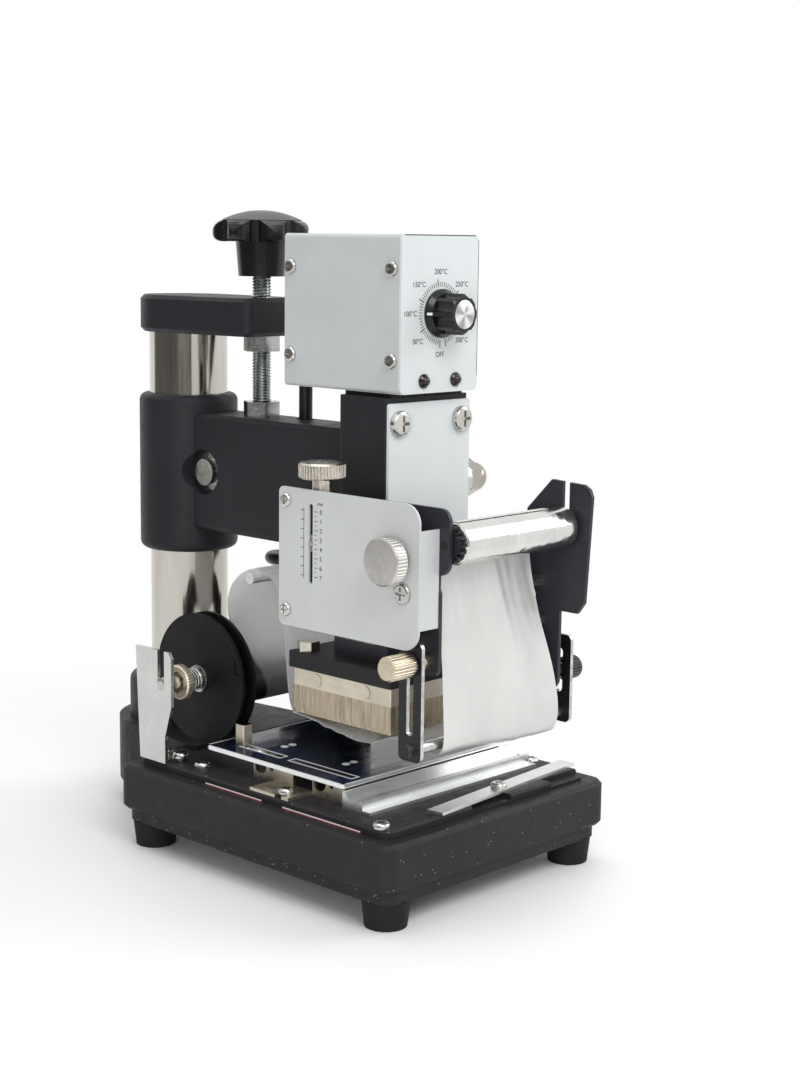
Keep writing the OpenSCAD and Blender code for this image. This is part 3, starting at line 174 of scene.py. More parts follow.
def lathe_mesh(profile, sides, hollow=False):
    """Surface of revolution about Z of (radius, z) points in millimetres."""
    verts = [polar(r * MM, 2 * math.pi * k / sides, z * MM) for r, z in profile for k in range(sides)]
    close = inner_wall if hollow else end_caps
    return verts, grid_faces(len(profile), sides, True) + close(len(profile), sides)


def box_mesh(corners):
    """Vertices and faces of boxes, each (low corner, high corner) in millimetres of x, y, z."""
    verts, faces = [], []
    for low, high in corners:
        n = len(verts)
        verts += [Vector((x, y, z)) * MM for x in (low[0], high[0]) for y in (low[1], high[1])
                  for z in (low[2], high[2])]
        faces += [tuple(n + i for i in f) for f in BOX_FACES]
    return verts, faces


def between(a, b, start, end, u):
    """Value at u on the straight run from a at start to b at end."""
    return (end - u) / (end - start) * a + (u - start) / (end - start) * b


def smooth_route(points, step):
    """Points of a centripetal spline through the route, about step apart."""
    pts = [Vector(p) for p in points]
    pts = [2 * pts[0] - pts[1]] + pts + [2 * pts[-1] - pts[-2]]
    out = []
    for i in range(1, len(pts) - 2):
        p0, p1, p2, p3 = pts[i - 1:i + 3]
        t = [0.0]
        for a, b in ((p0, p1), (p1, p2), (p2, p3)):
            t.append(t[-1] + math.sqrt((b - a).length))
        count = max(2, round((p2 - p1).length / step))
        for s in range(count):
            u = t[1] + (t[2] - t[1]) * s / count
            a1 = between(p0, p1, t[0], t[1], u)
            a2 = between(p1, p2, t[1], t[2], u)
            a3 = between(p2, p3, t[2], t[3], u)
            b1 = between(a1, a2, t[0], t[2], u)
            b2 = between(a2, a3, t[1], t[3], u)
            out.append(between(b1, b2, t[1], t[2], u))
    return out + [pts[-2]]


# Material helpers

class Shader:
    """A Principled material with short calls for adding and linking nodes."""

    def __init__(self, name, color, rough, metal=0.0, **sockets):
        self.material = bpy.data.materials.new(name)
        self.material.use_nodes = True
        self.tree = self.material.node_tree
        self.bsdf = self.tree.nodes["Principled BSDF"]
        self.set(self.bsdf, Base_Color=(*color, 1), Roughness=rough, Metallic=metal, **sockets)
        source = self.add("ShaderNodeTexCoord").outputs
        self.coords, self.normals = source["Object"], source["Normal"]

    def put(self, socket, value):
        if isinstance(value, bpy.types.NodeSocket):
            self.tree.links.new(value, socket)
        else:
            socket.default_value = value

    def set(self, node, **values):
        """Fills sockets by name, with underscores for the spaces."""
        for key, value in values.items():
            self.put(node.inputs[key.replace("_", " ")], value)

    def add(self, kind, **values):
        node = self.tree.nodes.new(kind)
        self.set(node, **values)
        return node

    def place(self, axis):
        """Position along one axis of the part."""
        return self.add("ShaderNodeSeparateXYZ", Vector=self.coords).outputs[axis]

    def facing(self, axis):
        """Part of the surface's normal that lies along one axis."""
        return self.add("ShaderNodeSeparateXYZ", Vector=self.normals).outputs[axis]

    def mapped(self, scale, rotation=(0, 0, 0)):
        return self.add("ShaderNodeMapping", Vector=self.coords, Scale=scale,
                        Rotation=rotation).outputs[0]

    def noise(self, scale, detail, vector=None, rough=0.5):
        return self.add("ShaderNodeTexNoise", Vector=vector or self.coords, Scale=scale,
                        Detail=detail, Roughness=rough).outputs[0]

    def ramp(self, value, low, high, out_low=0.0, out_high=1.0):
        return self.add("ShaderNodeMapRange", Value=value, From_Min=low, From_Max=high,
                        To_Min=out_low, To_Max=out_high).outputs[0]

    def clouds(self, scale, detail, low=0.3, high=0.7):
        return self.ramp(self.noise(scale, detail), low, high)

    def math(self, operation, a, b=0.0):
        node = self.tree.nodes.new("ShaderNodeMath")
        node.operation = operation
        for socket, value in zip(node.inputs, (a, b)):
            self.put(socket, value)
        return node.outputs[0]

    def mix(self, factor, a, b):
        """Colour between a and b, each a socket or three numbers."""
        node = self.tree.nodes.new("ShaderNodeMix")
        node.data_type = "RGBA"
        self.put(node.inputs[0], factor)
        for socket, value in ((node.inputs[6], a), (node.inputs[7], b)):
            self.put(socket, (*value, 1) if isinstance(value, tuple) else value)
        return node.outputs[2]

    def color(self, socket):
        self.set(self.bsdf, Base_Color=socket)

    def rough(self, socket):
        self.set(self.bsdf, Roughness=socket)

    def vary_rough(self, scale, detail, low, high, vector=None):
        """Roughness that wanders between low and high."""
        self.rough(self.ramp(self.noise(scale, detail, vector), 0.3, 0.7, low, high))

    def bump(self, height, strength, distance):
        node = self.add("ShaderNodeBump", Height=height, Strength=strength, Distance=distance)
        self.set(self.bsdf, Normal=node.outputs[0])


def tint(color, factor):
    return tuple(min(1.0, c * factor) for c in color)


def enamel(name, color, rough, speck, level):
    """Black stove enamel: cloudy tone, fine orange peel and pale specks of dust in the coat."""
    s = Shader(name, color, rough, Specular_IOR_Level=level)
    base = s.mix(s.clouds(28, 5), tint(color, 0.9), tint(color, 1.12))
    cells = s.add("ShaderNodeTexVoronoi", Vector=s.coords, Scale=520.0).outputs
    dot = s.math("LESS_THAN", cells["Distance"], 0.17)
    pick = s.add("ShaderNodeSeparateColor", Color=cells["Color"]).outputs[0]
    chosen = s.math("GREATER_THAN", pick, 1 - speck)
    s.color(s.mix(s.math("MULTIPLY", dot, chosen), base, (0.22, 0.22, 0.23)))
    s.vary_rough(160, 4, rough - 0.05, rough + 0.08)
    peel = s.math("ADD", s.noise(1100, 2), s.math("MULTIPLY", s.noise(260, 3), 0.6))
    s.bump(peel, 0.3, 0.0003)
    return s.material


def coat(name, color, rough, grain, depth, level):
    """Powder coat or moulded plastic: even colour with slight clouds and a fine grain."""
    s = Shader(name, color, rough, Specular_IOR_Level=level)
    s.color(s.mix(s.clouds(45, 4), tint(color, 0.97), tint(color, 1.03)))
    s.vary_rough(90, 4, rough - 0.06, rough + 0.08)
    s.bump(s.noise(grain, 2), depth, 0.0002)
    return s.material


def metal(name, color, rough, streak, fine, depth, spread):
    """Metal with grinding lines along one direction: streak stretches the noise."""
    s = Shader(name, color, rough, 1.0)
    lines = s.noise(fine, 3, s.mapped(streak))
    cloud = s.noise(60, 3)
    s.color(s.mix(s.ramp(cloud, 0.35, 0.7), tint(color, 1 - spread), tint(color, 1 + spread)))
    worn = s.math("ADD", s.math("MULTIPLY", lines, 0.6), s.math("MULTIPLY", cloud, 0.4))
    s.rough(s.ramp(worn, 0.3, 0.7, max(0.04, rough - 0.08), rough + 0.1))
    s.bump(lines, depth, 0.0002)
    return s.material


def foil(name, color, rough, shine, crease, scale, **sockets):
    """Metallised film: soft sheen with pressed creases, darker in their hollows as painted shade;
    shine is the share of mirror in it.
    """
    s = Shader(name, color, rough, shine, **sockets)
    folds = s.noise(scale, 4, s.mapped((1.0, 0.35, 0.35)), 0.6)
    # Painted shade: the colour follows the height of the creases, darker in their hollows.
    s.color(s.mix(s.ramp(folds, 0.3, 0.7), tint(color, 0.9), tint(color, 1.05)))
    s.vary_rough(scale * 3, 3, rough - 0.06, rough + 0.1)
    s.bump(folds, crease, 0.002)
    return s.material


# Light that passes through film
THIN_FILM = {"Subsurface_Weight": 1.0, "Subsurface_Radius": (1, 1, 1), "Subsurface_Scale": 0.006}


def leader_foil():
    """Start of the film: white, with painted shade in a corner cut on the slant next to the left
    disc.
    """
    s = Shader("leader_foil", (0.9, 0.9, 0.9), 0.34, **THIN_FILM)
    # Painted shade: below the slanting line the white film is painted near black, where it lies in
    # shade beside the left disc.
    shade_slant = s.math("ADD", s.place(2), s.math("MULTIPLY", s.place(0), 1.75))
    white = s.mix(s.clouds(50, 4), (0.93, 0.93, 0.93), (0.97, 0.97, 0.97))
    dark = s.mix(s.clouds(90, 4), (0.012, 0.012, 0.014), (0.03, 0.03, 0.033))
    s.color(s.mix(s.ramp(shade_slant, 0.051, 0.056), dark, white))
    s.vary_rough(120, 3, 0.26, 0.42)
    return s.material


def wound_foil():
    """Side of the supply roll: fine rings about its axis."""
    axis, ring = at(0, REEL_REACH, REEL_Z), 0.0006
    s = Shader("wound_foil", (0.74, 0.75, 0.77), 0.3, 1.0)
    dy = s.math("SUBTRACT", s.place(1), axis.y)
    dz = s.math("SUBTRACT", s.place(2), axis.z)
    radius = s.math("SQRT", s.math("ADD", s.math("MULTIPLY", dy, dy), s.math("MULTIPLY", dz, dz)))
    rings = s.math("SINE", s.math("MULTIPLY", radius, 2 * math.pi / ring))
    s.color(s.mix(s.ramp(rings, -1, 1), (0.5, 0.51, 0.53), (0.86, 0.87, 0.88)))
    s.vary_rough(300, 3, 0.2, 0.4)
    s.bump(rings, 0.2, 0.0002)
    return s.material


def chrome_tube():
    """Polished column: faint long wipe marks, a warm cast and small scuffs."""
    s = Shader("chrome_tube", (0.66, 0.62, 0.55), 0.08, 1.0)
    wipe = s.noise(34, 4, s.mapped((1, 1, 0.12)))
    s.color(s.mix(s.ramp(wipe, 0.38, 0.64), (0.44, 0.41, 0.36), (0.62, 0.6, 0.55)))
    s.vary_rough(500, 3, 0.1, 0.18, s.mapped((1, 1, 0.05)))
    return s.material


def type_steel():
    """Type holder: ground steel browned by heat, with slanting file marks."""
    color = (0.56, 0.48, 0.36)
    s = Shader("type_steel", color, 0.38, 1.0)
    marks = s.noise(520, 4, s.mapped((0.6, 1.0, 0.08), (math.radians(24), 0, 0)), 0.65)
    dark = s.mix(s.ramp(marks, 0.36, 0.62), tint(color, 0.42), tint(color, 1.22))
    s.color(s.mix(s.clouds(70, 4, 0.4, 0.75), dark, (0.5, 0.42, 0.31)))
    s.rough(s.ramp(marks, 0.3, 0.7, 0.28, 0.5))
    s.bump(marks, 0.35, 0.0004)
    return s.material


def table_gloss():
    """Dark lacquered plate with a blue cast, rubbing marks and bare bright cut edges."""
    s = Shader("table_gloss", (0.012, 0.018, 0.035), 0.1, Specular_IOR_Level=0.35)
    lacquer = s.mix(s.clouds(22, 3, 0.35), (0.006, 0.007, 0.011), (0.012, 0.022, 0.055))
    edge = s.math("LESS_THAN", s.math("ABSOLUTE", s.facing(2)), 0.5)
    s.color(s.mix(edge, lacquer, (0.8, 0.81, 0.82)))
    s.set(s.bsdf, Metallic=edge)
    rubs = s.noise(240, 4, s.mapped((0.2, 1, 1), (0, 0, 0.5)))
    s.rough(s.ramp(rubs, 0.35, 0.75, 0.08, 0.26))
    return s.material


def table_cream():
    """Cream passivated feet; their top sheet, which shows only in the slots, is painted near black as
    the shade deep in the slots.
    """
    sheet_z = 0.0535
    s = Shader("table_cream", (0.6, 0.55, 0.45), 0.34, 1.0)
    # Painted shade: upward faces of the top sheet are painted near black, standing in for the shade
    # down in the slots.
    top = s.math("MULTIPLY", s.math("GREATER_THAN", s.place(2), sheet_z),
                 s.math("GREATER_THAN", s.facing(2), 0.5))
    cream = s.mix(s.clouds(60, 3, 0.35), (0.49, 0.45, 0.37), (0.71, 0.65, 0.53))
    s.color(s.mix(top, cream, (0.015, 0.016, 0.022)))
    s.vary_rough(260, 3, 0.26, 0.44)
    return s.material


def cut_sheet():
    """Black coated strip whose cut edges are bare steel; the plates stand square to X."""
    s = Shader("cut_sheet", (0.008, 0.008, 0.01), 0.3, Specular_IOR_Level=0.35)
    edge = s.math("LESS_THAN", s.math("ABSOLUTE", s.facing(0)), 0.5)
    black = s.mix(s.clouds(60, 4, 0.35, 0.65), (0.006, 0.006, 0.008), (0.011, 0.011, 0.013))
    steel = s.mix(s.clouds(260, 4, 0.35), (0.4, 0.4, 0.4), (0.74, 0.74, 0.73))
    s.color(s.mix(edge, black, steel))
    s.set(s.bsdf, Metallic=edge)
    s.vary_rough(300, 3, 0.22, 0.4)
    return s.material


def guide_bracket():
    """Rear guide: black sheet with a bright rod, told apart by where they lie."""
    sheet_x, sheet_z = 0.0465, 0.15
    s = Shader("guide_bracket", (0.026, 0.026, 0.034), 0.34, Specular_IOR_Level=0.3)
    rod = s.math("MULTIPLY", s.math("LESS_THAN", s.place(0), sheet_x),
                 s.math("LESS_THAN", s.place(2), sheet_z))
    grain = s.clouds(300, 3, 0.35)
    black = s.mix(grain, (0.024, 0.024, 0.031), (0.028, 0.028, 0.037))
    s.color(s.mix(rod, black, s.mix(grain, (0.7, 0.7, 0.69), (0.86, 0.86, 0.85))))
    s.set(s.bsdf, Metallic=rod)
    s.vary_rough(350, 3, 0.26, 0.4)
    return s.material


def guide_nut():
    """Knurled guide nuts: nickelled brass, with the right one painted near black as shade."""
    s = Shader("guide_nut", (0.6, 0.52, 0.4), 0.24, 1.0)
    # Painted shade: the right nut, the same nickelled brass as the left, is painted near black where
    # it stands in shade.
    right = s.math("GREATER_THAN", s.place(0), 0.0)
    cloud = s.clouds(60, 3, 0.35)
    brass = s.mix(cloud, (0.52, 0.45, 0.34), (0.68, 0.6, 0.47))
    s.color(s.mix(right, brass, s.mix(cloud, (0.05, 0.05, 0.053), (0.09, 0.09, 0.095))))
    s.vary_rough(350, 3, 0.18, 0.34)
    return s.material


def spun_cap():
    """Spun metal cap of the dial: painted reflection, brighter and darker in narrow sectors round its
    axis.
    """
    color = (0.78, 0.78, 0.77)
    s = Shader("spun_cap", color, 0.22, 1.0)
    up = s.math("SUBTRACT", s.place(2), DIAL_Z * MM)
    # Painted reflection: bright and dark sectors round the axis stand in for the light on the spun
    # surface.
    painted_fan_glint = s.math("SINE", s.math("MULTIPLY", s.math("ARCTAN2", up, s.place(0)), 4.0))
    s.color(s.mix(s.ramp(painted_fan_glint, -0.9, 0.9), tint(color, 0.5), tint(color, 1.1)))
    s.vary_rough(600, 3, 0.16, 0.3)
    return s.material


# Colour, roughness, share of specks, specular level
ENAMELS = {
    "cast_black": ((0.0175, 0.0155, 0.0175), 0.5, 0.11, 0.22),
    "arm_black": ((0.021, 0.0205, 0.025), 0.44, 0.008, 0.18),
}
# Colour, roughness, scale and depth of the grain, specular level
COATS = {
    "foot_rubber": ((0.011, 0.011, 0.012), 0.7, 900, 0.2, 0.2),
    "gear_black": ((0.013, 0.013, 0.015), 0.4, 900, 0.06, 0.3),
    "reel_black": ((0.0052, 0.005, 0.0062), 0.42, 1300, 0.08, 0.18),
    "gloss_black": ((0.006, 0.006, 0.007), 0.2, 1500, 0.03, 0.4),
    "cap_grey": ((0.06, 0.06, 0.065), 0.4, 900, 0.1, 0.4),
    "sheet_white": ((0.69, 0.73, 0.735), 0.34, 1700, 0.04, 0.35),
    # The cover's paint is the front panel's white made darker, as painted shade for the box's left
    # side.
    "cover_painted_shade": ((0.545, 0.57, 0.57), 0.36, 1700, 0.04, 0.3),
    "plate_grey": ((0.585, 0.605, 0.6), 0.34, 1700, 0.05, 0.35),
    "sheet_black": ((0.026, 0.026, 0.034), 0.36, 1500, 0.08, 0.3),
    "insulator": ((0.024, 0.023, 0.025), 0.55, 500, 0.25, 0.25),
    "ceramic": ((0.6, 0.56, 0.46), 0.3, 700, 0.08, 0.5),
    "lamp_lens": ((0.02, 0.012, 0.012), 0.12, 400, 0.02, 0.5),
    "lead_rubber": ((0.008, 0.008, 0.009), 0.36, 1100, 0.1, 0.35),
    "ink": ((0.012, 0.012, 0.014), 0.5, 900, 0.02, 0.5),
    "white_ink": ((0.75, 0.75, 0.74), 0.5, 900, 0.02, 0.5),
    "red_line": ((0.42, 0.05, 0.06), 0.45, 900, 0.05, 0.5),
    "bare_edge": ((0.72, 0.73, 0.74), 0.4, 900, 0.04, 0.5),
    "flag": ((0.13, 0.125, 0.12), 0.9, 1500, 0.1, 0.5),
}
# Colour, roughness, stretch, scale and depth of the grinding lines, spread of the tone
METALS = {
    "zinc_steel": ((0.4, 0.43, 0.42), 0.22, (1, 1, 1), 500, 0.08, 0.25),
    "bright_nut": ((0.47, 0.48, 0.47), 0.2, (1, 1, 1), 700, 0.03, 0.08),
    "screw_head": ((0.6, 0.59, 0.56), 0.2, (1, 1, 1), 400, 0.05, 0.2),
    "bright_sheet": ((0.62, 0.62, 0.61), 0.24, (1, 1, 0.04), 900, 0.05, 0.06),
    "bare_steel": ((0.52, 0.52, 0.51), 0.26, (0.05, 1, 1), 900, 0.08, 0.12),
    "nickel": ((0.66, 0.62, 0.54), 0.22, (1, 1, 1), 350, 0.06, 0.14),
    "dull_nickel": ((0.43, 0.4, 0.35), 0.24, (1, 1, 1), 350, 0.06, 0.2),
    "knob_nickel": ((0.57, 0.555, 0.53), 0.28, (1, 1, 1), 350, 0.06, 0.12),
    "brass": ((0.78, 0.71, 0.56), 0.4, (1, 1, 1), 350, 0.06, 0.1),
    "bare_aluminium": ((0.72, 0.73, 0.73), 0.32, (0.03, 1, 1), 1200, 0.1, 0.06),
    "heater_steel": ((0.7, 0.64, 0.53), 0.36, (1, 0.06, 1), 700, 0.1, 0.12),
}
# Colour, roughness, share of mirror, depth and scale of the creases
FOILS = {
    "silver_foil": ((0.66, 0.66, 0.645), 0.34, 0.3, 0.02, 40),
    "type_foil": ((0.86, 0.86, 0.85), 0.24, 0.35, 0.08, 90),
    "roll_foil": ((0.72, 0.72, 0.7), 0.16, 1.0, 0.06, 120),
}
LOOKS = {
    **{name: enamel(name, *row) for name, row in ENAMELS.items()},
    **{name: coat(name, *row) for name, row in COATS.items()},
    **{name: metal(name, *row) for name, row in METALS.items()},
    **{name: foil(name, *row) for name, row in FOILS.items()},
    "white_foil": foil("white_foil", (0.94, 0.94, 0.94), 0.3, 0.0, 0.06, 50, **THIN_FILM),
    "leader_foil": leader_foil(),
    "wound_foil": wound_foil(),
    "chrome_tube": chrome_tube(),
    "type_steel": type_steel(),
    "table_gloss": table_gloss(),
    "table_cream": table_cream(),
    "cut_sheet": cut_sheet(),
    "guide_bracket": guide_bracket(),
    "guide_nut": guide_nut(),
    "spun_cap": spun_cap(),
}
NODE_LOOKS = {
    "cast_black": ["base_casting"],
    "arm_black": ["top_arm", "arm_casting", "head_housing"],
    "foot_rubber": ["rubber_feet"],
    "chrome_tube": ["column"],
    "zinc_steel": ["height_screw"],
    "bright_nut": ["lock_nut", "arm_nut"],
    "screw_head": ["deck_screws", "panel_screws", "sleeve_clamp"],
    "bright_sheet": ["reel_brackets"],
    "bare_steel": ["supply_spindle", "brake_spring", "return_springs", "cross_rods", "lever_shaft",
                   "pinion", "ram_bar", "guide_rods", "lever_arm", "feed_slider"],
    "nickel": ["feed_screw", "heater_bolts"],
    "dull_nickel": ["cap_nut"],
    "knob_nickel": ["takeup_knob"],
    "brass": ["brake_nut"],
    "gear_black": ["takeup_shaft"],
    "guide_nut": ["guide_nuts"],
    "bare_aluminium": ["front_rail", "gauge_strip"],
    "wound_foil": ["supply_roll"],
    "roll_foil": ["takeup_roll"],
    "silver_foil": ["foil_web"],
    "reel_black": ["supply_reel", "box_spacer"],
    "gloss_black": ["star_knob", "lever_grip", "dial_knob"],
    "cap_grey": ["star_knob_cap"],
    "table_gloss": ["table_plate"],
    "table_cream": ["table_fittings"],
    "sheet_white": ["front_plate", "box_chassis"],
    "plate_grey": ["feed_plate"],
    "cover_painted_shade": ["box_cover"],
    "sheet_black": ["left_plate", "right_plate", "ram_foot"],
    "guide_bracket": ["rear_guide_bracket"],
    "cut_sheet": ["guide_frame"],
    "insulator": ["insulator_plate"],
    "heater_steel": ["heater_block", "cartridge_heaters"],
    "type_steel": ["type_holder", "type_plate"],
    "ceramic": ["thermostat"],
    "lamp_lens": ["indicator_lamps"],
    "lead_rubber": ["heater_cable"],
}


def dress_nodes():
    for look, names in NODE_LOOKS.items():
        for name in names:
            nodes[name].data.materials.clear()
            nodes[name].data.materials.append(LOOKS[look])


dress_nodes()


# Heater lead: x, reach and height of its points, from the gland of the box to the heater

LEAD_RADIUS = 0.0035
LEAD_FREE, LEAD_HELD = (52, 73, 128), (44.5, 130.3, 96.25)
LEAD_ROUTE = [
    (8, 101.4, 264), (8, 97.4, 264), (8, 91.9, 262.5), (8, 86.9, 257), (8, 84, 249), (8, 84, 240),
    (8, 84, 217.5), (8, 84, 195.5), (8, 84, 175.5), (8, 84, 157.5), (8, 82, 150), (8.5, 76, 144),
    (9.5, 67, 141.5), (12, 57, 140.5), (17, 48, 139.5), (25, 42, 138.5), (34, 41, 137.5),
    (43, 44, 136), (49, 51, 134), (51.5, 61, 131.5), LEAD_FREE, (51.8, 82.5, 125.6),
    (51.2, 92.1, 119.8), (50.1, 101.6, 112.1), (48.7, 111.2, 104.5), (46.8, 120.7, 98.6),
    LEAD_HELD, (44.5, 136.3, 96.25)]


def add_lead():
    route = smooth_route([at(*p) for p in LEAD_ROUTE], 0.003)
    lead = new_object("heater_lead", *tube_mesh(route, LEAD_RADIUS, 16))
    lead.data.materials.append(LOOKS["lead_rubber"])
    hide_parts("heater_cable")
    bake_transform(lead)


add_lead()


# Springs

WIRE = 0.6 * MM
RETURN_X, RETURN_REACH, RETURN_Z = 19.5, 168, 176
RETURN_LENGTH, RETURN_PRESSED = 28, 13
BRAKE_COIL_X, BRAKE_WASHER_X = -48.65, -47.6


def coil_route(radius, turns, length, per_turn=28):
    count = int(turns * per_turn)
    return [polar(radius, 2 * math.pi * turns * i / count, WIRE + (length - 2 * WIRE) * i / count)
            for i in range(count + 1)]


def add_coil(name, place, turn, radius, turns, length, body, node):
    points = [place + turn @ p for p in coil_route(radius * MM, turns, length * MM)]
    spring = new_object(name, *tube_mesh(points, WIRE, 8))
    return finish_piece(spring, body, "bare_steel", replaced=[node])


def add_springs():
    """Two return springs in the head, and the coil and washer that brake the reel."""
    upright, sideways = Matrix.Identity(4), Matrix.Rotation(math.radians(-90), 4, "Y")
    for side, name in ((-1, "left"), (1, "right")):
        place = at(side * RETURN_X, RETURN_REACH, RETURN_Z)
        spring = add_coil(f"return_spring_{name}", place, upright, 5.4, 8, RETURN_LENGTH,
                          "arm", "return_springs")
        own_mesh(spring)
    add_coil("brake_coil", at(BRAKE_COIL_X, REEL_REACH, REEL_Z), sideways, 5.3, 4, 7.9,
             "base", "brake_spring")
    ring = [(4.05, 0), (6.6, 0), (7, 0.15), (7, 0.85), (6.6, 1), (4.05, 1)]
    verts, faces = lathe_mesh(ring, 48, hollow=True)
    place = at(BRAKE_WASHER_X, REEL_REACH, REEL_Z)
    washer = new_object("brake_washer", [place + sideways @ v for v in verts], faces)
    finish_piece(washer, "base", "bare_steel")


add_springs()


# Thread of the height screw

def thread_mesh(radius, pitch, depth, low, high, around=32, per_pitch=6):
    """Rod with a V thread between two heights."""
    rows = int((high - low) / pitch * per_pitch)
    verts = []
    for i in range(rows + 1):
        z = low + (high - low) * i / rows
        for k in range(around):
            wave = (z / pitch - k / around) % 1.0
            r = radius - depth * (1 - abs(2 * wave - 1))
            verts.append(polar(r, 2 * math.pi * k / around, z))
    return verts, grid_faces(rows + 1, around, True) + end_caps(rows + 1, around)


def add_height_screw():
    low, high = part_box("height_screw")
    verts, faces = thread_mesh(5 * MM, 1.5 * MM, 0.8 * MM, low.z, high.z)
    shift = at(0, SCREW_REACH, 0)
    screw = new_object("height_screw_thread", [v + shift for v in verts], faces, 60)
    finish_piece(screw, "screw", "zinc_steel", replaced=["height_screw"])


add_height_screw()


# Foil: paths are (reach, height) points in millimetres along its left and right edges

ON_REEL_R, ON_ROLL_R = 17.4, 10.15
REAR_LEFT = [
    (80.8, 92), (78.6, 104), (75.8, 117), (75, 127), (77.6, 134.4), (83.6, 140.4), (90, 144),
    (94.2, 145.2), (99, 145.2), (104.5, 143.6), (110, 140), (114.4, 133), (116.6, 122), (118, 108),
    (119.6, 94), (121.6, 82.6), (TYPE_REAR, FILM_Z)]
REAR_RIGHT = [
    (81, 92), (80.6, 104), (80.2, 117), (81.2, 128), (84.4, 136), (88.4, 141.6), (91.6, 144.4),
    (94.2, 145), (98, 144.4), (102.6, 141.6), (107.4, 136.4), (112, 127), (115, 116), (117.2, 103),
    (119.4, 90.5), (121.6, 81.8), (TYPE_REAR, FILM_Z)]
UNDER_TYPE = [
    (TYPE_REAR, FILM_Z), (132, 76.9), (144, 76.2), (157, 75.7), (170, 75.4), (179, 75.6),
    (186, 76.4), (TYPE_FRONT, FILM_Z)]
FRONT_LEFT = [
    (TYPE_FRONT, FILM_Z), (199, 77.2), (207, 76.3), (214, 75.2), (219.5, 75.0), (223.3, 76.9),
    (224.8, 81.5), (224.6, 92), (223.6, 107), (222.2, 126), (220.9, 145), (219.7, 162)]
FRONT_RIGHT = [
    (TYPE_FRONT, FILM_Z), (199, 77.0), (207, 75.6), (215.5, 73.7), (223.5, 72.8), (229, 74.9),
    (231.6, 80.5), (231.8, 89), (230, 98), (226.6, 112), (223.2, 127), (221.2, 143), (219.7, 162)]

# Places where it is cut, between one body and the next
OFF_REEL, OVER_REAR_GUIDE = (80.9, 92), (94, 145)
OFF_TYPE, UNDER_GUIDE, ON_ROLL = (206, 76.2), (224, 74.6), (219.3, 172)


def arc(reach, z, radius, angles, side=1):
    """Points on a circle; 0 degrees is to the front, or to the rear with side -1, and 90 is up."""
    turns = [math.radians(a) for a in angles]
    return [(reach + side * radius * math.cos(a), z + radius * math.sin(a)) for a in turns]


def resample(path, count):
    """Path smoothed and shared out into count + 1 points of equal spacing."""
    line = np.array([(p.x, p.y) for p in smooth_route([Vector((*p, 0)) for p in path], 0.8)])
    s = np.concatenate([[0], np.cumsum(np.linalg.norm(np.diff(line, axis=0), axis=1))])
    t = np.linspace(0, s[-1], count + 1)
    return np.stack([np.interp(t, s, line[:, 0]), np.interp(t, s, line[:, 1])], 1)


def waves(u, v, seed, across, along):
    """Smooth pseudo-random waves from about -1 to 1, across and along the film."""
    rng = np.random.default_rng(seed)
    total = np.zeros_like(u)
    for k in range(6):
        fu, fv = rng.uniform(*across), rng.uniform(*along)
        total += np.sin(2 * math.pi * (fu * u + fv * v) + rng.uniform(0, 6.28)) / (1 + 0.4 * k)
    return total / 2.4


def ease(v, start, end):
    """Rises smoothly from 0 at start to 1 at end."""
    f = np.clip((v - start) / (end - start), 0, 1)
    return f * f * (3 - 2 * f)


def sheet_normals(points):
    normal = np.cross(np.gradient(points, axis=0), np.gradient(points, axis=1))
    return normal / np.linalg.norm(normal, axis=2)[:, :, None]


def left_edge(v):
    return np.full_like(v, -FILM_HALF)


def right_edge(v):
    return np.full_like(v, FILM_HALF)


def film_surface(left, right, height, rows, cross, edge=right_edge):
    """Points and normals of a film between two side paths; height moves it along its normal."""
    a, b = resample(left, rows), resample(right, rows)
    v, u = np.meshgrid(np.linspace(0, 1, rows + 1), np.linspace(0, 1, cross), indexing="ij")
    w = u * u * (3 - 2 * u)
    reach = a[:, :1] * (1 - w) + b[:, :1] * w
    z = a[:, 1:] * (1 - w) + b[:, 1:] * w
    x = left_edge(v) * (1 - u) + edge(v) * u
    points = np.stack([x, COLUMN_Y - reach, z], 2)
    points = points + sheet_normals(points) * height(u, v)[:, :, None]
    return points, sheet_normals(points)


def film_piece(name, surface, first, last, thick=0.12):
    """Closed thin mesh of the film's rows from first to last."""
    points, normal = (part[first:last + 1] for part in surface)
    n, cross = points.shape[:2]
    verts = [Vector(p) * MM for sign in (1, -1)
             for p in (points + sign * thick / 2 * normal).reshape(-1, 3)]
    top = grid_faces(n, cross, False)
    base = n * cross
    faces = top + [tuple(base + i for i in reversed(f)) for f in top]
    for i in range(n - 1):
        for j in (0, cross - 1):
            a, b = i * cross + j, (i + 1) * cross + j
            faces.append((a, b, base + b, base + a))
    for j in range(cross - 1):
        for i in (0, n - 1):
            a, b = i * cross + j, i * cross + j + 1
            faces.append((a, b, base + b, base + a))
    return new_object(name, verts, faces, 60)


def nearest_row(surface, reach, z):
    """Row whose middle lies closest to a reach and height."""
    middle = surface[0].mean(axis=1)
    return int(np.argmin(np.hypot(middle[:, 1] - (COLUMN_Y - reach), middle[:, 2] - z)))


def add_film(name, surface, first, last, bodies, look):
    """One span of film, from its first row to its last; with one body it goes with that body, with
    two it stays where it is.
    """
    sheet = film_piece(name, surface, first, last)
    sheet.data.materials.append(LOOKS[look])
    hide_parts("foil_web")
    if len(bodies) == 1:
        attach(sheet, bodies[0])
    else:
        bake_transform(sheet)
    return sheet


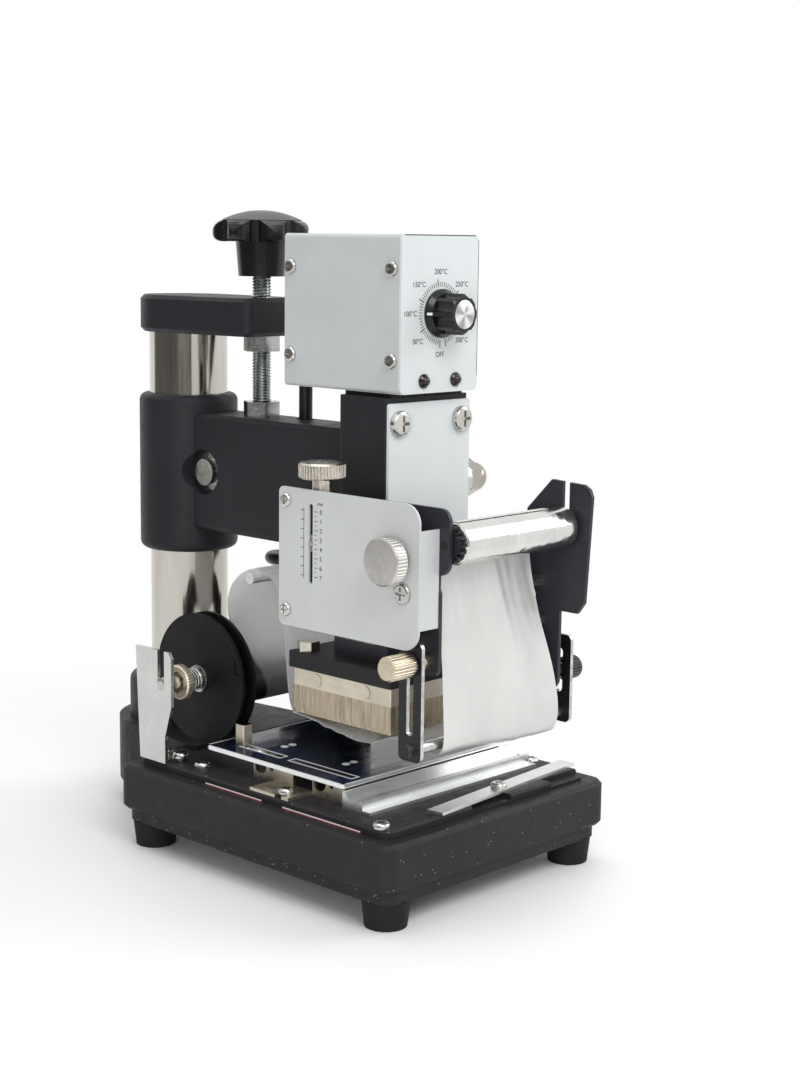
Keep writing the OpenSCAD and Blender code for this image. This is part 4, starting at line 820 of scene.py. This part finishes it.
def add_rear_film():
    """From the reel, in a slack bulge over the rear guide and down to the type."""
    on_reel = arc(REEL_REACH, REEL_Z, ON_REEL_R, (-72, -50, -28, -8))

    def height(u, v):
        slack = ease(v, 0.2, 0.4) * (1 - ease(v, 0.86, 1.0))
        bulges = 0.9 * waves(u, v, 3, (0.6, 2.6), (0.4, 2.0))
        return slack * (bulges + 0.14 * waves(u, v, 7, (4, 9), (3, 8)))

    end = 140
    surface = film_surface(on_reel + REAR_LEFT, on_reel + REAR_RIGHT, height, end, 64)
    start, top = (nearest_row(surface, *place) for place in (OFF_REEL, OVER_REAR_GUIDE))
    add_film("foil_round_reel", surface, 0, start, ["base"], "leader_foil")
    add_film("foil_from_reel", surface, start, top, ["base", "arm"], "leader_foil")
    add_film("foil_to_type", surface, top, end, ["arm", "ram"], "white_foil")


def add_front_film():
    """From the type, round the front guide and up to the take-up roll, where it gathers."""
    on_roll = arc(TAKEUP_REACH, TAKEUP_Z, ON_ROLL_R, (0, 25, 50, 75, 100), side=-1)

    def height(u, v):
        loose = ease(v, 0.1, 0.3) * (1 - ease(v, 0.74, 0.86))
        folds = 0.75 * waves(u, 0.25 * v, 11, (1.2, 5.5), (0.2, 1.2))
        return loose * (folds + 0.18 * waves(u, v, 17, (5, 11), (2, 6)))

    def gathered_edge(v):
        return FILM_HALF - 10.5 * ease(v, 0.42, 0.86)

    end = 150
    surface = film_surface(FRONT_LEFT + on_roll, FRONT_RIGHT + on_roll, height, end, 72,
                           gathered_edge)
    free, turn, wound = (nearest_row(surface, *place)
                         for place in (OFF_TYPE, UNDER_GUIDE, ON_ROLL))
    add_film("foil_to_guide", surface, 0, free, ["ram", "arm"], "silver_foil")
    add_film("foil_round_guide", surface, free, turn, ["arm", "guide"], "silver_foil")
    add_film("foil_to_takeup", surface, turn, wound, ["guide", "arm"], "silver_foil")
    add_film("foil_on_takeup", surface, wound, end, ["arm"], "silver_foil")


def add_type_film():
    """Slack belly under the type block, attached to the ram."""

    def height(u, v):
        loose = ease(v, 0.0, 0.25) * (1 - ease(v, 0.78, 1.0))
        droop = -3.4 * (1 - ease(u, 0.0, 0.2)) * ease(v, 0.05, 0.7)
        broad = 0.45 * waves(u, v, 21, (1, 4), (1, 4))
        return loose * (droop + broad + 0.3 * waves(u, v, 23, (4, 9), (5, 10)))

    end = 60
    surface = film_surface(UNDER_TYPE, UNDER_TYPE, height, end, 48)
    sheet = add_film("foil_under_type", surface, 0, end, ["ram"], "type_foil")
    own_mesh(sheet)


add_rear_film()
add_front_film()
add_type_film()


def add_takeup_roll():
    """Wound film on the take-up core: a slightly uneven barrel with stepped ends."""
    low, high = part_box("takeup_roll")
    width = high.x - low.x
    centre = at(0, TAKEUP_REACH, TAKEUP_Z)
    sides, rows = 96, 60
    core, barrel = 4.1 * MM, 9.78 * MM
    steps = [(8.6 * MM, 0.0), (9.2 * MM, 0.25 * MM), (9.5 * MM, 0.6 * MM), (barrel, 0.8 * MM)]
    rings = [(core, low.x)] + [(r, low.x + d) for r, d in steps]
    rings += [(barrel, low.x + width * (0.02 + 0.96 * i / rows)) for i in range(rows + 1)]
    rings += [(r, high.x - d) for r, d in reversed(steps)] + [(core, high.x)]
    verts = []
    for r, x in rings:
        for k in range(sides):
            a = 2 * math.pi * k / sides
            wave = 0.05 * MM * math.sin(3 * a + 900 * x) * math.sin(240 * x + a)
            uneven = r + wave if r == barrel else r
            verts.append(centre + Vector((x, uneven * math.cos(a), uneven * math.sin(a))))
    faces = grid_faces(len(rings), sides, True) + inner_wall(len(rings), sides)
    roll = new_object("takeup_wound", verts, faces, 40)
    finish_piece(roll, "takeup", "roll_foil", ["takeup_roll"])


add_takeup_roll()


# Printed marks

LETTER_T, BAR_T = 0.00003, 0.00005
BAR_FACES = [(0, 1, 2, 3), (7, 6, 5, 4), (0, 4, 5, 1), (1, 5, 6, 2), (2, 6, 7, 3), (3, 7, 4, 0)]


def text_mesh(word, size):
    """Flat letters of the built-in font, centred, as vertices and faces in the x-y plane."""
    curve = bpy.data.curves.new("letters", "FONT")
    curve.body, curve.size = word, size
    curve.align_x, curve.align_y = "CENTER", "CENTER"
    curve.extrude = LETTER_T
    holder = bpy.data.objects.new("letters", curve)
    bpy.context.scene.collection.objects.link(holder)
    bpy.context.view_layer.update()
    shown = holder.evaluated_get(bpy.context.evaluated_depsgraph_get())
    mesh = bpy.data.meshes.new_from_object(shown)
    verts = [v.co.copy() for v in mesh.vertices]
    faces = [tuple(p.vertices) for p in mesh.polygons]
    bpy.data.objects.remove(holder)
    bpy.data.curves.remove(curve)
    bpy.data.meshes.remove(mesh)
    return verts, faces


class Marks:
    """Ink marks gathered into one mesh; origin, right and up place their plane."""

    def __init__(self, origin, right, up):
        self.origin, self.right, self.up = Vector(origin), Vector(right), Vector(up)
        self.out = self.right.cross(self.up)
        self.verts, self.faces = [], []

    def add(self, verts, faces):
        n = len(self.verts)
        self.verts += [self.origin + v.x * self.right + v.y * self.up + v.z * self.out for v in verts]
        self.faces += [tuple(n + i for i in f) for f in faces]

    def bar(self, a, b, width):
        """Flat bar from a to b, millimetres in the plane."""
        a, b = Vector((*a, 0)) * MM, Vector((*b, 0)) * MM
        side = Vector((-(b - a).y, (b - a).x, 0)).normalized() * width * MM / 2
        ring = [a + side, a - side, b - side, b + side]
        self.add(ring + [p + Vector((0, 0, BAR_T)) for p in ring], BAR_FACES)

    def word(self, text, x, y, size):
        verts, faces = text_mesh(text, size * MM)
        shift = Vector((0, 0, LETTER_T))
        self.add([v + Vector((x, y, 0)) * MM + shift for v in verts], faces)

    def finish(self, name):
        finish_piece(new_object(name, self.verts, self.faces, 30), "arm", "ink")


def add_dial_scale():
    marks = Marks(at(0, PANEL_REACH, DIAL_Z), (1, 0, 0), (0, 0, 1))
    ticks, sweep, inner = 60, 345, 12.6
    label_x, label_z, label_size = 20.6, 19.4, 3.5
    for i in range(ticks + 1):
        a = math.radians(-90 - sweep * i / ticks)
        outer, width = (16.2, 0.5) if i % 10 == 0 else (14.8, 0.34)
        marks.bar(polar(inner, a).xy, polar(outer, a).xy, width)
    for label, degrees in (("OFF", 270), ("50°C", 222), ("100°C", 180), ("150°C", 136),
                           ("200°C", 90), ("250°C", 44), ("300°C", -42)):
        a = math.radians(degrees)
        marks.word(label, label_x * math.cos(a), label_z * math.sin(a), label_size)
    marks.finish("dial_scale")


def add_box_seam():
    """Dark joint between the front panel and the cover, along the panel's top and right edges."""
    marks = Marks(at(0, PANEL_REACH, PANEL_Z), (1, 0, 0), (0, 0, 1))
    marks.bar((-25, 36.7), (24.4, 36.7), 0.45)
    marks.bar((26.45, 34.6), (26.45, -30), 0.3)
    marks.finish("box_seam")


def add_feed_scale():
    """Scale beside the slot of the feed plate, with whole and half steps."""
    marks = Marks(at(FEED_PLATE_X, FEED_SLOT_REACH, FEED_SLOT_Z), (0, -1, 0), (0, 0, 1))
    left, right, step = -4.6, 2.6, 4.43
    marks.bar((left, -17), (left, 17), 0.25)
    for i in range(8):
        z = 15.5 - i * step
        marks.bar((left - 2, z), (left, z), 0.3)
        marks.bar((right, z), (right + 2, z), 0.3)
        marks.word(str(i), 6.9, z, 3.0)
    for i in range(7):
        z = 13.3 - i * step
        marks.bar((right, z), (right + 1.2, z), 0.22)
    marks.word("mm", 6.4, 19.4, 2.4)
    marks.finish("feed_scale")


add_dial_scale()
add_box_seam()
add_feed_scale()


# Trim of the dial, table and deck

# Slots of the table plate: x to either side, rear and front end of each
SLOT_X, SLOT_ENDS = 46, ((97, 126), (133, 176))
# Name, x and reach of each pair of pins, and half the distance between the two
PIN_PAIRS, PIN_APART = (("table_pins_a", -29.8, 112.5), ("table_pins_b", -29.7, 156.4)), 2.7
# Painted lines: their two faces, front and rear ends, then name, height and look of each
LINE_LEFT, LINE_RIGHT, LINE_ENDS = -72.3, -71.9, ((206, 154), (139, 98))
DECK_LINES = (("deck_lines_white", 42.45, 42.9, "white_ink"),
              ("deck_lines_red", 42.0, 42.45, "red_line"))

def add_dial_trim():
    """Spun cap of the dial knob and the white pointer on its skirt."""
    profile = [(6.7, 0), (6.7, 0.1), (6.4, 0.25), (0.6, 0.12), (0.01, 0.12)]
    verts, faces = lathe_mesh(profile, 64)
    to_front = Matrix.Rotation(math.radians(90), 4, "X")
    place = at(0, DIAL_CAP_REACH, DIAL_Z)
    cap = new_object("dial_cap", [place + to_front @ v for v in verts], faces)
    finish_piece(cap, "dial", "spun_cap")
    ends, half, thick = ((-11.4, 186.5), (-9.7, 188.3)), 0.6, 0.12
    verts = [at(x, reach + lift, DIAL_Z + side) for x, reach in ends for side in (-half, half)
             for lift in (0, thick)]
    pointer = new_object("dial_pointer", verts, BOX_FACES)
    finish_piece(pointer, "dial", "white_ink")


def add_table_trim():
    """Bare edges of the table plate and its slots, and the two pairs of pins in its face."""
    low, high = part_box("table_plate")
    x0, y0, x1, y1, z = (v / MM for v in (low.x, low.y, high.x, high.y, high.z))
    edge, corner, proud = 0.7, 2, 0.1
    spans = [(x0, y0 + corner, x0 + edge, y1 - corner), (x1 - edge, y0 + corner, x1, y1 - corner),
             (x0 + corner, y0, x1 - corner, y0 + edge), (x0 + corner, y1 - edge, x1 - corner, y1)]
    inner, outer, end, gap = 2.05, 2.9, 0.9, 0.05
    for x in (-SLOT_X, SLOT_X):
        for rear, front in SLOT_ENDS:
            a, b = COLUMN_Y - front, COLUMN_Y - rear
            spans += [(x - outer, a - end, x - inner, b + end),
                      (x + inner, a - end, x + outer, b + end),
                      (x - inner, a - end, x + inner, a - gap),
                      (x - inner, b + gap, x + inner, b + end)]
    boxes = [((xa, ya, z), (xb, yb, z + proud)) for xa, ya, xb, yb in spans]
    finish_piece(new_object("table_edges", *box_mesh(boxes), 20), "table", "bare_edge")
    pin = [(2.1, 0), (2.1, 0.1), (1.8, 0.22), (0.9, 0.22), (0.8, 0.05), (0.01, 0.05)]
    pin_verts, pin_faces = lathe_mesh(pin, 32)
    for name, x, reach in PIN_PAIRS:
        verts, faces = [], []
        for dx in (-PIN_APART, PIN_APART):
            faces += [tuple(len(verts) + i for i in f) for f in pin_faces]
            verts += [v + at(x + dx, reach, z) for v in pin_verts]
        finish_piece(new_object(name, verts, faces), "table", "bare_edge")


def add_deck_lines():
    """Thin painted lines at the foot of the deck step on the operator's left: white over red."""
    for name, low, high, look in DECK_LINES:
        lines = [((LINE_LEFT, COLUMN_Y - front, low), (LINE_RIGHT, COLUMN_Y - rear, high))
                 for front, rear in LINE_ENDS]
        finish_piece(new_object(name, *box_mesh(lines), 20), "base", look)


add_dial_trim()
add_table_trim()
add_deck_lines()


# Stage and light

FLOOR_R, FLOOR_Z, FADE_FROM, FADE_TO = 1.6, -0.0002, 0.15, 0.45
FLAG_R, FLAG_LOW, FLAG_HIGH = 1.05, 0.03, 0.55
# Name, place, size and power of each lamp
LAMPS = (("key", (-0.45, -1.2, 1.3), 0.9, 11), ("fill", (1.1, -0.8, 0.9), 1.0, 6),
         ("top", (0.1, 0.2, 1.6), 1.2, 8), ("side", (-1.1, -0.75, 0.3), 0.6, 4.5))
LAMPS_AIM = Vector((0, 0, 0.15))


def add_floor():
    """Pale disc that turns clear away from the part."""
    sides = 96
    verts = [polar(FLOOR_R, 2 * math.pi * k / sides, FLOOR_Z) for k in range(sides)]
    floor = new_object("floor", verts, [tuple(range(sides))])
    s = Shader("floor", (0.9, 0.9, 0.9), 0.6)
    far = s.add("ShaderNodeVectorMath", Vector=s.coords)
    far.operation = "LENGTH"
    blend = s.tree.nodes.new("ShaderNodeMixShader")
    s.put(blend.inputs[0], s.ramp(far.outputs["Value"], FADE_FROM, FADE_TO, 1.0, 0.0))
    s.put(blend.inputs[1], s.add("ShaderNodeBsdfTransparent").outputs[0])
    s.put(blend.inputs[2], s.bsdf.outputs[0])
    s.put(s.tree.nodes["Material Output"].inputs["Surface"], blend.outputs[0])
    floor.data.materials.append(s.material)


def add_flag():
    """Dark studio flag round the front left, seen only in the polished metal."""
    turns = [math.radians(VIEW_TURN + a) for a in range(-114, 18, 6)]
    ring = [Vector((FLAG_R * math.sin(a), -FLAG_R * math.cos(a), 0)) for a in turns]
    verts = [p + Vector((0, 0, z)) for z in (FLAG_LOW, FLAG_HIGH) for p in ring]
    flag = new_object("flag", verts, grid_faces(2, len(ring), False), 60)
    flag.data.materials.append(LOOKS["flag"])
    flag.visible_camera = flag.visible_diffuse = flag.visible_shadow = False


def add_world():
    """White studio: dimmer as a light than as what the camera and the mirrors see."""
    world = bpy.data.worlds.new("studio")
    bpy.context.scene.world = world
    world.use_nodes = True
    tree = world.node_tree
    light, plain = tree.nodes["Background"], tree.nodes.new("ShaderNodeBackground")
    for background, strength in ((light, 0.55), (plain, 1.0)):
        background.inputs[0].default_value = (1, 1, 1, 1)
        background.inputs[1].default_value = strength
    path = tree.nodes.new("ShaderNodeLightPath")
    seen = path.outputs["Is Camera Ray"]
    for name in ("Is Glossy Ray", "Is Transmission Ray"):
        either = tree.nodes.new("ShaderNodeMath")
        either.operation = "MAXIMUM"
        tree.links.new(seen, either.inputs[0])
        tree.links.new(path.outputs[name], either.inputs[1])
        seen = either.outputs[0]
    blend = tree.nodes.new("ShaderNodeMixShader")
    tree.links.new(seen, blend.inputs[0])
    tree.links.new(light.outputs[0], blend.inputs[1])
    tree.links.new(plain.outputs[0], blend.inputs[2])
    tree.links.new(blend.outputs[0], tree.nodes["World Output"].inputs[0])


def add_lamps():
    for name, place, size, power in LAMPS:
        data = bpy.data.lights.new(name, "AREA")
        data.shape, data.size, data.energy = "DISK", size, power
        lamp = bpy.data.objects.new(name, data)
        lamp.location = place
        lamp.rotation_mode = "QUATERNION"
        lamp.rotation_quaternion = (LAMPS_AIM - Vector(place)).to_track_quat("-Z", "Y")
        bpy.context.scene.collection.objects.link(lamp)


add_floor()
add_flag()
add_world()
add_lamps()
bpy.context.scene.view_settings.view_transform = "Standard"
